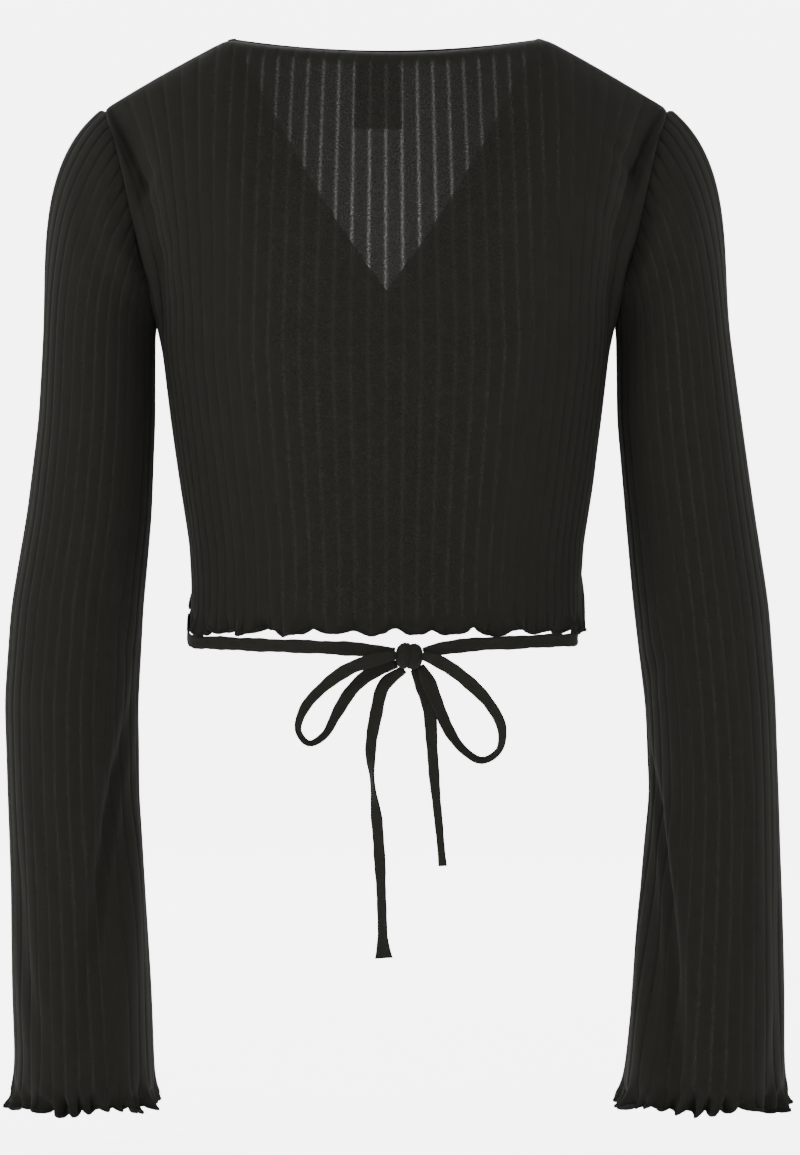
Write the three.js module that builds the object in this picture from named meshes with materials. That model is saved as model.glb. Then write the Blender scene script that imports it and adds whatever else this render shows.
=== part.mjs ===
// Ribbed wrap crop top with long flared sleeves and a tie at the back waist, as worn.
// Millimetres, +Z up. The wearer faces -Y and the wearer's left is +X.
// The origin is between the neck points, at their height.
import * as THREE from 'three';

// Cloth and seams
const CLOTH = 1.2;
const RIB_HEIGHT = 0.4;
const SEAM_GAP = 0.3;

// Torso sizes
const RIBS_PER_HALF = 20;
const COLUMNS_PER_RIB = 2;
const HEM_Z = -372;
const UNDERARM = { x: 144.5, y: 0, z: -165 };
const SHOULDER_TIP = { x: 182, y: 0, z: -45 };
const NECK_POINT = { x: 100, y: 10, z: 0 };
const NECK_SHARE = 0.525;
const TIP_SHARE = 0.875;
const ARMHOLE_COLUMNS = (1 - TIP_SHARE) * RIBS_PER_HALF * COLUMNS_PER_RIB;
const BACK_NECK = { depth: 38, drop: 12 };
const FRONT_NECK = { depth: 70, drop: 4 };
const ARMHOLE_BULGE = { back: 46, front: 44 };
const SHOULDER_CAMBER = 1;
const SECTION_ROUNDNESS = 0.92;
const PROFILE_FULLNESS = 0.85;
const NECK_ROUNDING = 0.6;
const FULLNESS_GAIN = 1.2;

// Wrap edge: height above or below the crossing, as a curve over the share of the front
const WRAP = { crossing: -160, slope: 271, bend: 58, end: 0.93 };

// The right front lies over the left one. It rises clear of it over a ramp that starts above
// the left front's edge, and comes down again at its own side seam.
const OVERLAP = { lift: 3.2, start: 34, ramp: 22, seamShare: 0.955 };

// Lettuce edges
const HEM_WAVE = { out: 3.4, up: 1.2, count: 13, second: 0.5, rows: [1, 0.35] };
const CUFF_WAVE = { out: 3.8, up: 2.2, count: 14, rows: [1, 0.35] };

// Binding, label and ties
const BINDING = { width: 5, thick: 1.2, sag: 0.85, gap: 0.5 };
const LABEL = { firstColumn: 34, lastColumn: 43, rows: [9.5, 10, 11, 11.9], inside: -1.9, outside: -0.9 };
const TIE = { width: 8.5, thick: 1.8 };

// Half width to corner radius of an eight-sided section
const EIGHT_SIDES = 0.541;
const KNOT = { x: -14.5, y: 89, z: -389, rx: 8.5, ry: 6.5, rz: 8.5 };

// Heights of the torso rows above the hem, then angles of the rows over the shoulder
const LOWER_ROWS = [0, 6, 14, 52, 92, 132, 172];
const UPPER_ANGLES = [17, 34, 50, 64, 77, 90];

// Torso sections, from the hem up
const TORSO = [
  { z: -380, half: 123, back: 84, front: 86 },
  { z: -345, half: 122, back: 83, front: 86 },
  { z: -320, half: 123.5, back: 84, front: 89 },
  { z: -280, half: 129.5, back: 88, front: 99 },
  { z: -240, half: 135, back: 92, front: 110 },
  { z: -200, half: 140, back: 95, front: 114 },
];

// Fullness above the chest by the share across: how far the cloth stands out over the blades
// and the chest, and how late it swings out towards the shoulder
const FULLNESS = [
  { share: 0, back: 18, front: 4, swing: 1 },
  { share: 0.3, back: 22, front: 8, swing: 1 },
  { share: 0.5, back: 28, front: 15, swing: 1.2 },
  { share: 0.7, back: 36, front: 28, swing: 1.8 },
  { share: 0.875, back: 42, front: 40, swing: 3 },
  { share: 0.9, back: 30, front: 28, swing: 2 },
  { share: 0.925, back: 14, front: 13, swing: 1.5 },
  { share: 0.95, back: 4, front: 4, swing: 1.2 },
  { share: 1, back: 0, front: 0, swing: 1 },
];

// Sleeve sections below the armhole: the edge near the body, the far edge, and the depth
const SLEEVE_LEFT = [
  { z: -190, near: 148, far: 217, y: -2, depth: 41 },
  { z: -240, near: 148, far: 220, y: -3, depth: 42 },
  { z: -300, near: 151, far: 227, y: -6, depth: 43 },
  { z: -360, near: 157, far: 237, y: -10, depth: 44 },
  { z: -420, near: 160, far: 242, y: -15, depth: 45 },
  { z: -480, near: 160, far: 241, y: -20, depth: 46 },
  { z: -540, near: 156, far: 239, y: -25, depth: 48 },
  { z: -600, near: 153, far: 238, y: -29, depth: 51 },
  { z: -645, near: 151, far: 237, y: -32, depth: 53 },
  { z: -668, near: 150, far: 238, y: -33, depth: 55 },
  { z: -677, near: 149, far: 240, y: -33, depth: 56 },
];
const SLEEVE_RIGHT = [
  { z: -190, near: 147.5, far: 218, y: -2, depth: 41 },
  { z: -240, near: 148, far: 225, y: -3, depth: 42 },
  { z: -300, near: 154, far: 233, y: -6, depth: 43 },
  { z: -360, near: 160, far: 242, y: -10, depth: 44 },
  { z: -420, near: 167, far: 247, y: -15, depth: 45 },
  { z: -480, near: 170, far: 250, y: -20, depth: 46 },
  { z: -540, near: 166, far: 252, y: -25, depth: 48 },
  { z: -600, near: 161, far: 253, y: -29, depth: 51 },
  { z: -645, near: 156, far: 254, y: -32, depth: 53 },
  { z: -668, near: 153, far: 255, y: -33, depth: 55 },
  { z: -677, near: 151, far: 257, y: -33, depth: 56 },
];
const SLEEVE_RIBS = 32;
const SLEEVE_HEAD_STEPS = [0, 0.16, 0.36, 0.58, 0.8];
const SLEEVE_START = { lean: 0.78, underarmLean: 0.02, spread: 0.15, tipShift: 1.9, underarmShift: 2.1 };

// Long folds of the sleeves: the angle round the sleeve at the fold's top and bottom
const FOLDS_LEFT = [
  { topZ: -430, bottomZ: -650, topAngle: 152, bottomAngle: 95, depth: 5.5, width: 16 },
  { topZ: -330, bottomZ: -520, topAngle: 300, bottomAngle: 250, depth: 3.5, width: 18 },
];
const FOLDS_RIGHT = [
  { topZ: -455, bottomZ: -715, topAngle: 168, bottomAngle: 106, depth: 6.5, width: 15 },
  { topZ: -350, bottomZ: -540, topAngle: 290, bottomAngle: 245, depth: 3.5, width: 18 },
];

// Routes of the ties, with the angle of the width from the reference direction at each point
const WAIST_LEFT = [
  { x: 125.8, y: -9.2, z: -367, turn: 0 },
  { x: 126, y: -4, z: -370.5, turn: 0 },
  { x: 125.6, y: 3, z: -378.5, turn: 0 },
  { x: 121.5, y: 18, z: -381, turn: 0 },
  { x: 104, y: 46.5, z: -381.5, turn: 0 },
  { x: 78, y: 67, z: -382.5, turn: 0 },
  { x: 44, y: 81, z: -383.5, turn: 0 },
  { x: 14, y: 86.5, z: -385, turn: 0 },
  { x: -5.7, y: 88.5, z: -386.5, turn: 0, wide: 0.6 },
];
const WAIST_RIGHT = [
  { x: -122.4, y: -9.3, z: -367, turn: 0 },
  { x: -121, y: -4.5, z: -369.5, turn: 0 },
  { x: -121.2, y: 3, z: -377, turn: 0 },
  { x: -119.5, y: 20, z: -379.5, turn: 0 },
  { x: -103, y: 47.5, z: -380, turn: 0 },
  { x: -80, y: 66, z: -381, turn: 0 },
  { x: -55, y: 77.5, z: -382, turn: 0 },
  { x: -34, y: 84.5, z: -384.5, turn: 0 },
  { x: -23.3, y: 88.5, z: -386.5, turn: 0, wide: 0.6 },
];
const LOOP_LEFT = [
  { x: -6.4, y: 92.4, z: -388.5, turn: 88, wide: 0.6 },
  { x: 8, y: 95, z: -391.5, turn: 82 },
  { x: 23, y: 95, z: -397, turn: 70 },
  { x: 38.4, y: 93, z: -408, turn: 55 },
  { x: 50, y: 91, z: -421, turn: 40 },
  { x: 54, y: 89, z: -435, turn: 25 },
  { x: 47.5, y: 88, z: -443, turn: 20 },
  { x: 38, y: 88, z: -438, turn: 30 },
  { x: 30, y: 88, z: -424, turn: 50 },
  { x: 21, y: 87.5, z: -410, turn: 66 },
  { x: 9, y: 87.5, z: -399.5, turn: 80 },
  { x: -7, y: 88, z: -393.8, turn: 88, wide: 0.6 },
];
const LOOP_RIGHT = [
  { x: -22.6, y: 92.4, z: -388.5, turn: 92, wide: 0.6 },
  { x: -36, y: 95, z: -394, turn: 96 },
  { x: -51, y: 94.5, z: -405, turn: 108 },
  { x: -64, y: 92, z: -418.5, turn: 125 },
  { x: -71.5, y: 90, z: -433, turn: 142 },
  { x: -70, y: 88.5, z: -447, turn: 155 },
  { x: -59.5, y: 88, z: -453.5, turn: 155 },
  { x: -48, y: 88, z: -447, turn: 145 },
  { x: -38.5, y: 88, z: -434, turn: 130 },
  { x: -31.5, y: 87.5, z: -417, turn: 115 },
  { x: -26, y: 87.5, z: -404, turn: 100 },
  { x: -21.2, y: 88, z: -395, turn: 92, wide: 0.6 },
];
const END_LEFT = [
  { x: -11.3, y: 86, z: -397.2, turn: 5, wide: 0.6 },
  { x: 1, y: 83.4, z: -407, turn: 10 },
  { x: 6, y: 83, z: -425, turn: 25 },
  { x: 9.3, y: 84, z: -446, turn: 35 },
  { x: 8.4, y: 85, z: -465, turn: 75 },
  { x: 5.4, y: 85, z: -492, turn: 35 },
  { x: 3.5, y: 84.5, z: -520, turn: 25 },
  { x: 2.2, y: 84, z: -548, turn: 15 },
  { x: 1.6, y: 84, z: -576, turn: 5 },
];
const END_RIGHT = [
  { x: -17.6, y: 86, z: -397.2, turn: 0, wide: 0.6 },
  { x: -22.5, y: 83.4, z: -408, turn: 10 },
  { x: -27, y: 83, z: -424, turn: 25 },
  { x: -28.6, y: 83.5, z: -445, turn: 35 },
  { x: -30.5, y: 84, z: -470, turn: 30 },
  { x: -33, y: 84, z: -495, turn: 25 },
  { x: -35.2, y: 84, z: -519, turn: 20 },
];

const CLOTH_LOOK = { color: 0x1c1c1a, roughness: 0.85, metalness: 0 };

const vec = (x, y, z) => new THREE.Vector3(x, y, z);
const radians = THREE.MathUtils.degToRad;
const mix = THREE.MathUtils.lerp;
const ease = THREE.MathUtils.smoothstep;

// Value of one column of a table where its key column, which rises, has a given value
function tableAt(rows, key, value, name) {
  if (value <= rows[0][key]) return rows[0][name];
  for (let i = 1; i < rows.length; i += 1) {
    if (value <= rows[i][key]) {
      const share = (value - rows[i - 1][key]) / (rows[i][key] - rows[i - 1][key]);
      return mix(rows[i - 1][name], rows[i][name], share);
    }
  }
  return rows[rows.length - 1][name];
}

// Points and triangles of one closed solid
class Solid {
  constructor() {
    this.points = [];
    this.faces = [];
  }

  add(point) {
    this.points.push(point.x, point.y, point.z);
    return this.points.length / 3 - 1;
  }

  line(points) {
    return points.map((point) => this.add(point));
  }

  // Triangles between two lines of points; keys say how far along each point lies.
  // Seen from outside, line a is on the left and both lines run upwards.
  zip(a, keysA, b, keysB) {
    let i = 0;
    let j = 0;
    while (i < a.length - 1 || j < b.length - 1) {
      const nextA = i < a.length - 1 ? keysA[i + 1] : Infinity;
      const nextB = j < b.length - 1 ? keysB[j + 1] : Infinity;
      if (nextA <= nextB) {
        this.faces.push(a[i], b[j], a[i + 1]);
        i += 1;
      } else {
        this.faces.push(a[i], b[j], b[j + 1]);
        j += 1;
      }
    }
  }

  geometry() {
    const shape = new THREE.BufferGeometry();
    shape.setAttribute('position', new THREE.Float32BufferAttribute(this.points, 3));
    shape.setIndex(this.faces);
    shape.computeVertexNormals();
    return shape;
  }
}

// Unit normals of a grid of points, from its neighbours to the right and above
function gridNormals(grid, closed) {
  const count = grid.length;
  return grid.map((column, i) => column.map((_, j) => {
    const left = closed ? grid[(i + count - 1) % count] : grid[Math.max(i - 1, 0)];
    const right = closed ? grid[(i + 1) % count] : grid[Math.min(i + 1, count - 1)];
    const across = right[j].clone().sub(left[j]);
    const low = column[Math.max(j - 1, 0)];
    const high = column[Math.min(j + 1, column.length - 1)];
    return across.cross(high.clone().sub(low)).normalize();
  }));
}

// Point of a column at a fractional row, moved out along its normal
function columnPoint(points, normals, key, out) {
  const low = Math.min(Math.floor(key), points.length - 2);
  const share = key - low;
  const point = points[low].clone().lerp(points[low + 1], share);
  const normal = normals[low].clone().lerp(normals[low + 1], share);
  return point.addScaledVector(normal, out);
}

// Closed cloth wall over a grid. The inner face is plain and the outer face is ribbed.
// columns lists { index, keys }, and inside and outside give the offsets at an index and key.
function clothWall(grid, normals, columns, step, inside, outside, closed) {
  const solid = new Solid();
  const makeLine = (column, offset) => solid.line(column.keys.map((key) => {
    return columnPoint(grid[column.index], normals[column.index], key, offset(column.index, key));
  }));
  const outer = columns.map((column) => makeLine(column, outside));
  const isChosen = (i) => i % step === 0 || (!closed && i === columns.length - 1);
  const chosen = columns.map((_, i) => i).filter(isChosen);
  const inner = chosen.map((i) => makeLine(columns[i], inside));
  const wrap = closed ? 0 : 1;
  for (let i = 0; i < columns.length - wrap; i += 1) {
    const next = (i + 1) % columns.length;
    solid.zip(outer[i], columns[i].keys, outer[next], columns[next].keys);
  }
  for (let i = 0; i < chosen.length - wrap; i += 1) {
    const next = (i + 1) % chosen.length;
    solid.zip(inner[next], columns[chosen[next]].keys, inner[i], columns[chosen[i]].keys);
  }
  const order = columns.map((_, i) => i);
  const bottomOuter = outer.map((line) => line[0]);
  const bottomInner = inner.map((line) => line[0]);
  const topOuter = outer.map((line) => line[line.length - 1]);
  const topInner = inner.map((line) => line[line.length - 1]);
  const innerOrder = [...chosen];
  if (closed) {
    order.push(columns.length);
    innerOrder.push(columns.length);
    [bottomOuter, bottomInner, topOuter, topInner].forEach((line) => line.push(line[0]));
  }
  solid.zip(bottomOuter, order, bottomInner, innerOrder);
  solid.zip(topInner, innerOrder, topOuter, order);
  if (!closed) {
    const last = columns.length - 1;
    solid.zip(inner[0], columns[0].keys, outer[0], columns[0].keys);
    solid.zip(outer[last], columns[last].keys, inner[inner.length - 1], columns[last].keys);
  }
  return solid.geometry();
}

// Strap or cord: a flattened eight-sided section carried along a path.
// Rows are { x, y, z, turn, wide }: turn is the angle from the reference to the width, in
// degrees, and wide the share of the full width, 1 where it isn't given.
function strap(rows, reference, steps) {
  const { width, thick } = TIE;
  const path = new THREE.CatmullRomCurve3(rows.map((row) => vec(row.x, row.y, row.z)), false, 'centripetal');
  const solid = new Solid();
  const sides = 8;
  const rings = [];
  for (let i = 0; i <= steps; i += 1) {
    const t = i / steps;
    const centre = path.getPoint(t);
    const along = path.getTangent(t);
    const place = t * (rows.length - 1);
    const low = Math.min(Math.floor(place), rows.length - 2);
    const turn = radians(mix(rows[low].turn, rows[low + 1].turn, place - low));
    const share = mix(rows[low].wide ?? 1, rows[low + 1].wide ?? 1, place - low);
    const flat = reference.clone().addScaledVector(along, -along.dot(reference)).normalize();
    const cross = along.clone().cross(flat);
    const wide = flat.clone().multiplyScalar(Math.cos(turn)).addScaledVector(cross, Math.sin(turn));
    const thin = along.clone().cross(wide);
    const ring = [];
    for (let k = 0; k < sides; k += 1) {
      const angle = ((k + 0.5) / sides) * 2 * Math.PI;
      const point = centre.clone();
      point.addScaledVector(wide, Math.cos(angle) * share * width * EIGHT_SIDES);
      point.addScaledVector(thin, Math.sin(angle) * thick * EIGHT_SIDES);
      ring.push(solid.add(point));
    }
    rings.push(ring);
  }
  for (let i = 0; i < steps; i += 1) {
    for (let k = 0; k < sides; k += 1) {
      const next = (k + 1) % sides;
      solid.faces.push(rings[i][k], rings[i][next], rings[i + 1][next]);
      solid.faces.push(rings[i][k], rings[i + 1][next], rings[i + 1][k]);
    }
  }
  for (let k = 1; k < sides - 1; k += 1) {
    solid.faces.push(rings[0][0], rings[0][k + 1], rings[0][k]);
    solid.faces.push(rings[steps][0], rings[steps][k], rings[steps][k + 1]);
  }
  return solid.geometry();
}

const garment = new THREE.Group();

function addPiece(name, geometry) {
  const mesh = new THREE.Mesh(geometry, new THREE.MeshStandardMaterial(CLOTH_LOOK));
  mesh.name = name;
  garment.add(mesh);
}

// Armhole edge of one side, left one: share 0 is the shoulder tip and 1 the underarm.
// face is +1 on the back and -1 on the front.
function armhole(share, face) {
  const bulge = face > 0 ? ARMHOLE_BULGE.back : ARMHOLE_BULGE.front;
  const y = mix(SHOULDER_TIP.y, UNDERARM.y, share) + face * bulge * Math.sin(Math.PI * share) ** 0.8;
  const sink = 0.5 - 0.5 * Math.cos(Math.PI * share);
  const x = mix(SHOULDER_TIP.x, UNDERARM.x, share ** 0.8);
  return vec(x, y, mix(SHOULDER_TIP.z, UNDERARM.z, sink));
}

// Armhole edge as the body's columns cut it, straight between neighbouring columns
function armholeFacets(share, face) {
  const place = share * ARMHOLE_COLUMNS;
  const low = Math.min(Math.floor(place), ARMHOLE_COLUMNS - 1);
  const from = armhole(low / ARMHOLE_COLUMNS, face);
  return from.lerp(armhole((low + 1) / ARMHOLE_COLUMNS, face), place - low);
}

// Top edge of the back or the full front at a share across it, before any wrap edge is cut
function topEdge(share, face) {
  const side = Math.sign(share) || 1;
  const across = Math.abs(share);
  const neck = face > 0 ? BACK_NECK : FRONT_NECK;
  let point;
  if (across <= NECK_SHARE) {
    const part = across / NECK_SHARE;
    const dip = 1 - part * part;
    point = vec(NECK_POINT.x * part, NECK_POINT.y + face * neck.depth * dip, NECK_POINT.z - neck.drop * dip);
  } else if (across <= TIP_SHARE) {
    const part = (across - NECK_SHARE) / (TIP_SHARE - NECK_SHARE);
    point = vec(
      mix(NECK_POINT.x, SHOULDER_TIP.x, part),
      mix(NECK_POINT.y, SHOULDER_TIP.y, part),
      mix(NECK_POINT.z, SHOULDER_TIP.z, part) + SHOULDER_CAMBER * Math.sin(Math.PI * part),
    );
  } else {
    point = armhole((across - TIP_SHARE) / (1 - TIP_SHARE), face);
  }
  point.x *= side;
  return point;
}

// Waves of the hem at a share across the back or front, fading to nothing at the side seams
function hemWave(share, face, fadeFrom) {
  const fade = 1 - ease(Math.abs(share), fadeFrom, 0.97);
  const turn = share * HEM_WAVE.count * Math.PI + (face > 0 ? 0.4 : 1.7);
  const main = Math.sin(turn + 0.9 * Math.sin(share * 7));
  return fade * (main + HEM_WAVE.second * Math.sin(turn * 0.61 + 1)) / (1 + HEM_WAVE.second);
}

// Body surface: the section at the row's height below the chest, then a rounded rise to the top edge
function bodyPoint(share, row, face, waved) {
  const angle = share * Math.PI / 2;
  const depthName = face > 0 ? 'back' : 'front';
  const gap = face * SEAM_GAP / 2;
  if (row < LOWER_ROWS.length) {
    const z = HEM_Z + LOWER_ROWS[row];
    const half = tableAt(TORSO, 'z', z, 'half');
    const depth = tableAt(TORSO, 'z', z, depthName);
    const point = vec(half * Math.sin(angle), gap + face * depth * Math.cos(angle) ** SECTION_ROUNDNESS, z);
    const edge = waved ? HEM_WAVE.rows[row] ?? 0 : 0;
    const wave = hemWave(share, face, face > 0 ? 0.85 : 0.7) * edge;
    const outward = vec(Math.sin(angle), face * Math.cos(angle), 0);
    point.addScaledVector(outward, wave * HEM_WAVE.out);
    point.z += edge * HEM_WAVE.up * hemWave(share * 1.07 + 0.05, face, 0.8);
    return point;
  }
  const chest = bodyPoint(share, LOWER_ROWS.length - 1, face, waved);
  const top = topEdge(share, face);
  top.y += gap;
  const rise = radians(UPPER_ANGLES[row - LOWER_ROWS.length]);
  const up = Math.sin(rise);
  const across = Math.abs(share);
  const nearNeck = mix(NECK_ROUNDING, 1, ease(across, NECK_SHARE - 0.2, NECK_SHARE));
  const round = nearNeck * (1 - ease(across, TIP_SHARE - 0.12, TIP_SHARE + 0.04));
  const curled = Math.max(Math.cos(rise), 0) ** PROFILE_FULLNESS;
  const level = mix(1 - up, curled, round);
  const full = tableAt(FULLNESS, 'share', across, depthName) * ease(up, 0, 0.6) * curled * FULLNESS_GAIN;
  const swing = up ** tableAt(FULLNESS, 'share', across, 'swing');
  const y = mix(top.y, chest.y, level) + face * full;
  return vec(mix(chest.x, top.x, swing), y, mix(chest.z, top.z, up));
}

// Grid of the back or the front, its columns running left to right seen from outside
function bodyGrid(face, waved) {
  const count = 2 * RIBS_PER_HALF * COLUMNS_PER_RIB;
  const rows = LOWER_ROWS.length + UPPER_ANGLES.length;
  const grid = [];
  for (let i = 0; i <= count; i += 1) {
    const share = face * (1 - (2 * i) / count);
    grid.push(Array.from({ length: rows }, (_, row) => bodyPoint(share, row, face, waved)));
  }
  return grid;
}

const LAST_ROW = LOWER_ROWS.length + UPPER_ANGLES.length - 1;
const COLUMN_COUNT = 2 * RIBS_PER_HALF * COLUMNS_PER_RIB;
const rib = (index) => (index % COLUMNS_PER_RIB === 1 ? RIB_HEIGHT : 0);
const allRows = (top) => Array.from({ length: LAST_ROW + 1 }, (_, row) => row).filter((row) => row <= top);

// Normals of the back or front without its waves; at the side seams they lie square to the seam
function bodyNormals(face) {
  const normals = gridNormals(bodyGrid(face, false), false);
  for (const column of [normals[0], normals[normals.length - 1]]) {
    column.forEach((normal) => normal.setY(0).normalize());
  }
  return normals;
}

const backGrid = bodyGrid(1, true);
const backNormals = bodyNormals(1);
const frontGrid = bodyGrid(-1, true);
const frontNormals = bodyNormals(-1);

// Share across the front at a column, from -1 at the wearer's right to 1 at the left
const frontShare = (index) => (2 * index) / COLUMN_COUNT - 1;

// Height of a wrap edge; own is the share counted towards the panel's own side
function wrapHeight(own) {
  return WRAP.crossing + WRAP.slope * own + WRAP.bend * own * own;
}

// Fractional row at which a front column reaches a height
function rowAtHeight(column, z) {
  for (let row = 1; row < column.length; row += 1) {
    if (column[row].z >= z) {
      return row - (column[row].z - z) / (column[row].z - column[row - 1].z);
    }
  }
  return column.length - 1;
}

// Columns of a front panel; side is +1 for the wearer's left panel
function frontColumns(side) {
  const columns = [];
  for (let i = 0; i <= COLUMN_COUNT; i += 1) {
    const own = side * frontShare(i);
    if (own < -WRAP.end) continue;
    const top = own >= NECK_SHARE ? LAST_ROW : rowAtHeight(frontGrid[i], wrapHeight(own));
    const keys = allRows(top - 0.04);
    keys.push(top);
    columns.push({ index: i, keys });
  }
  return columns;
}

// Height at a fractional row of the front grid
const frontHeight = (index, key) => columnPoint(frontGrid[index], frontNormals[index], key, 0).z;

// Lift of the right front off the left one
function rightLift(index, key) {
  const left = frontShare(index);
  const reach = wrapHeight(left) + OVERLAP.start - frontHeight(index, key);
  return OVERLAP.lift * ease(reach, 0, OVERLAP.ramp) * ease(left, -1, -OVERLAP.seamShare);
}

const noLift = () => 0;
const frontPanels = [
  { name: 'front_left', side: 1, lift: noLift, step: 4 },
  { name: 'front_right', side: -1, lift: rightLift, step: 1 },
];

const backColumns = backGrid.map((_, index) => ({ index, keys: allRows(LAST_ROW) }));
addPiece('back', clothWall(
  backGrid, backNormals, backColumns, 4, noLift, (index) => CLOTH + rib(index), false,
));

for (const panel of frontPanels) {
  addPiece(panel.name, clothWall(
    frontGrid, frontNormals, frontColumns(panel.side), panel.step,
    panel.lift, (index, key) => panel.lift(index, key) + CLOTH + rib(index), false,
  ));
}

// Depth of the long folds at an angle round a sleeve and a height
function foldDepth(folds, angle, z) {
  let depth = 0;
  for (const fold of folds) {
    const share = (fold.topZ - z) / (fold.topZ - fold.bottomZ);
    if (share <= 0 || share >= 1) continue;
    const away = (angle - mix(fold.topAngle, fold.bottomAngle, share)) / fold.width;
    const trough = Math.exp(-away * away) - 0.4 * Math.exp(-((away - 1.9) ** 2));
    depth += fold.depth * Math.sin(Math.PI * share) ** 0.7 * trough;
  }
  return depth;
}

// Point of a sleeve section, on the wearer's left side. Angle 0 is the outer edge and 90 the back.
function sectionPoint(table, folds, row, angle) {
  const section = table[row];
  const turn = radians(angle);
  const half = (section.far - section.near) / 2;
  const point = vec(
    section.near + half * (1 + Math.cos(turn)),
    section.y + section.depth * Math.sin(turn),
    section.z,
  );
  const edge = CUFF_WAVE.rows[table.length - 1 - row] ?? 0;
  const phase = CUFF_WAVE.count * turn + 0.8 * Math.sin(3 * turn);
  const out = edge * CUFF_WAVE.out * Math.sin(phase) - foldDepth(folds, angle, section.z);
  point.x += out * Math.cos(turn);
  point.y += out * Math.sin(turn);
  point.z += edge * CUFF_WAVE.up * Math.cos(phase * 0.5 + 1);
  return point;
}

// Point of the sleeve head, from the armhole edge to the first full section
function headPoint(table, folds, step, angle) {
  const face = angle <= 180 ? 1 : -1;
  const share = angle <= 180 ? angle / 180 : (360 - angle) / 180;
  const start = armholeFacets(share, face);
  const lean = SLEEVE_START.lean * (1 - share) ** 0.8 + SLEEVE_START.underarmLean;
  const spread = face * SLEEVE_START.spread * Math.sin(Math.PI * share);
  const direction = vec(lean, spread, -Math.sqrt(1 - lean * lean));
  start.addScaledVector(direction, SEAM_GAP);
  start.x += SLEEVE_START.tipShift + SLEEVE_START.underarmShift * ease(share, 0.4, 1);
  const end = sectionPoint(table, folds, 0, angle);
  const below = sectionPoint(table, folds, 1, angle);
  const reach = start.distanceTo(end);
  const leave = direction.multiplyScalar(reach);
  const arrive = below.sub(end).normalize().multiplyScalar(reach);
  const t2 = step * step;
  const t3 = t2 * step;
  const point = start.multiplyScalar(2 * t3 - 3 * t2 + 1);
  point.addScaledVector(leave, t3 - 2 * t2 + step);
  point.addScaledVector(end, 3 * t2 - 2 * t3);
  return point.addScaledVector(arrive, t3 - t2);
}

// Sleeve of one side, its columns running up from the cuff; side is +1 for the wearer's left
function sleeve(side, table, folds) {
  const count = SLEEVE_RIBS * COLUMNS_PER_RIB;
  const grid = [];
  for (let i = 0; i < count; i += 1) {
    const turned = (360 * i) / count;
    const angle = side > 0 ? turned : (540 - turned) % 360;
    const column = table.map((_, row) => sectionPoint(table, folds, table.length - 1 - row, angle));
    for (const step of [...SLEEVE_HEAD_STEPS].reverse()) {
      column.push(headPoint(table, folds, step, angle));
    }
    column.forEach((point) => point.setX(point.x * side));
    grid.push(column);
  }
  const normals = gridNormals(grid, true);
  const rows = grid[0].map((_, row) => row);
  const columns = grid.map((_, index) => ({ index, keys: rows }));
  return clothWall(grid, normals, columns, 4, noLift, (index) => CLOTH + rib(index), true);
}

addPiece('sleeve_left', sleeve(1, SLEEVE_LEFT, FOLDS_LEFT));
addPiece('sleeve_right', sleeve(-1, SLEEVE_RIGHT, FOLDS_RIGHT));

// Folded strip along the top edge of some columns, standing just beyond the edge
function binding(grid, normals, columns, lift) {
  const solid = new Solid();
  const tops = columns.map((column) => {
    const key = column.keys[column.keys.length - 1];
    return {
      point: columnPoint(grid[column.index], normals[column.index], key, 0),
      normal: columnPoint(normals[column.index], normals[column.index], key, 0).normalize(),
      lift: lift(column.index, key),
    };
  });
  const corners = tops.map((top, i) => {
    const before = tops[Math.max(i - 1, 0)].point;
    const after = tops[Math.min(i + 1, tops.length - 1)].point;
    const normal = top.normal.clone();
    const beyond = normal.clone().cross(after.clone().sub(before)).normalize();
    const atNeckPoint = Math.abs(Math.abs(top.point.x) - NECK_POINT.x) < SEAM_GAP;
    if (atNeckPoint) {
      normal.setY(0).normalize();
      beyond.setY(0).normalize();
    }
    const gap = atNeckPoint ? 2 * BINDING.gap : BINDING.gap;
    return [[0, 0], [1, 0], [1, 1], [0, 1]].map(([across, high]) => {
      const height = top.lift + high * BINDING.thick - across * BINDING.sag;
      const point = top.point.clone().addScaledVector(normal, height);
      return solid.add(point.addScaledVector(beyond, gap + across * BINDING.width));
    });
  });
  for (let i = 0; i < corners.length - 1; i += 1) {
    for (let k = 0; k < 4; k += 1) {
      const next = (k + 1) % 4;
      solid.faces.push(corners[i][k], corners[i][next], corners[i + 1][next]);
      solid.faces.push(corners[i][k], corners[i + 1][next], corners[i + 1][k]);
    }
  }
  const end = corners[corners.length - 1];
  solid.faces.push(corners[0][0], corners[0][2], corners[0][1], corners[0][0], corners[0][3], corners[0][2]);
  solid.faces.push(end[0], end[1], end[2], end[0], end[2], end[3]);
  return solid.geometry();
}

const neckColumns = backColumns.filter((column) => {
  return Math.abs(1 - (2 * column.index) / COLUMN_COUNT) <= NECK_SHARE + 0.001;
});
addPiece('binding_back', binding(backGrid, backNormals, neckColumns, noLift));
for (const panel of frontPanels) {
  const edge = frontColumns(panel.side).filter((column) => {
    return panel.side * frontShare(column.index) <= NECK_SHARE + 0.001;
  });
  const name = panel.name.replace('front', 'binding');
  addPiece(name, binding(frontGrid, frontNormals, edge, panel.lift));
}

const labelColumns = backColumns.slice(LABEL.firstColumn, LABEL.lastColumn + 1);
const labelRows = labelColumns.map((column) => ({ index: column.index, keys: LABEL.rows }));
addPiece('neck_label', clothWall(
  backGrid, backNormals, labelRows, 1, () => LABEL.inside, () => LABEL.outside, false,
));

const knot = new THREE.SphereGeometry(1, 14, 9);
knot.scale(KNOT.rx, KNOT.ry, KNOT.rz);
knot.translate(KNOT.x, KNOT.y, KNOT.z);
addPiece('bow_knot', knot);

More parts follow.
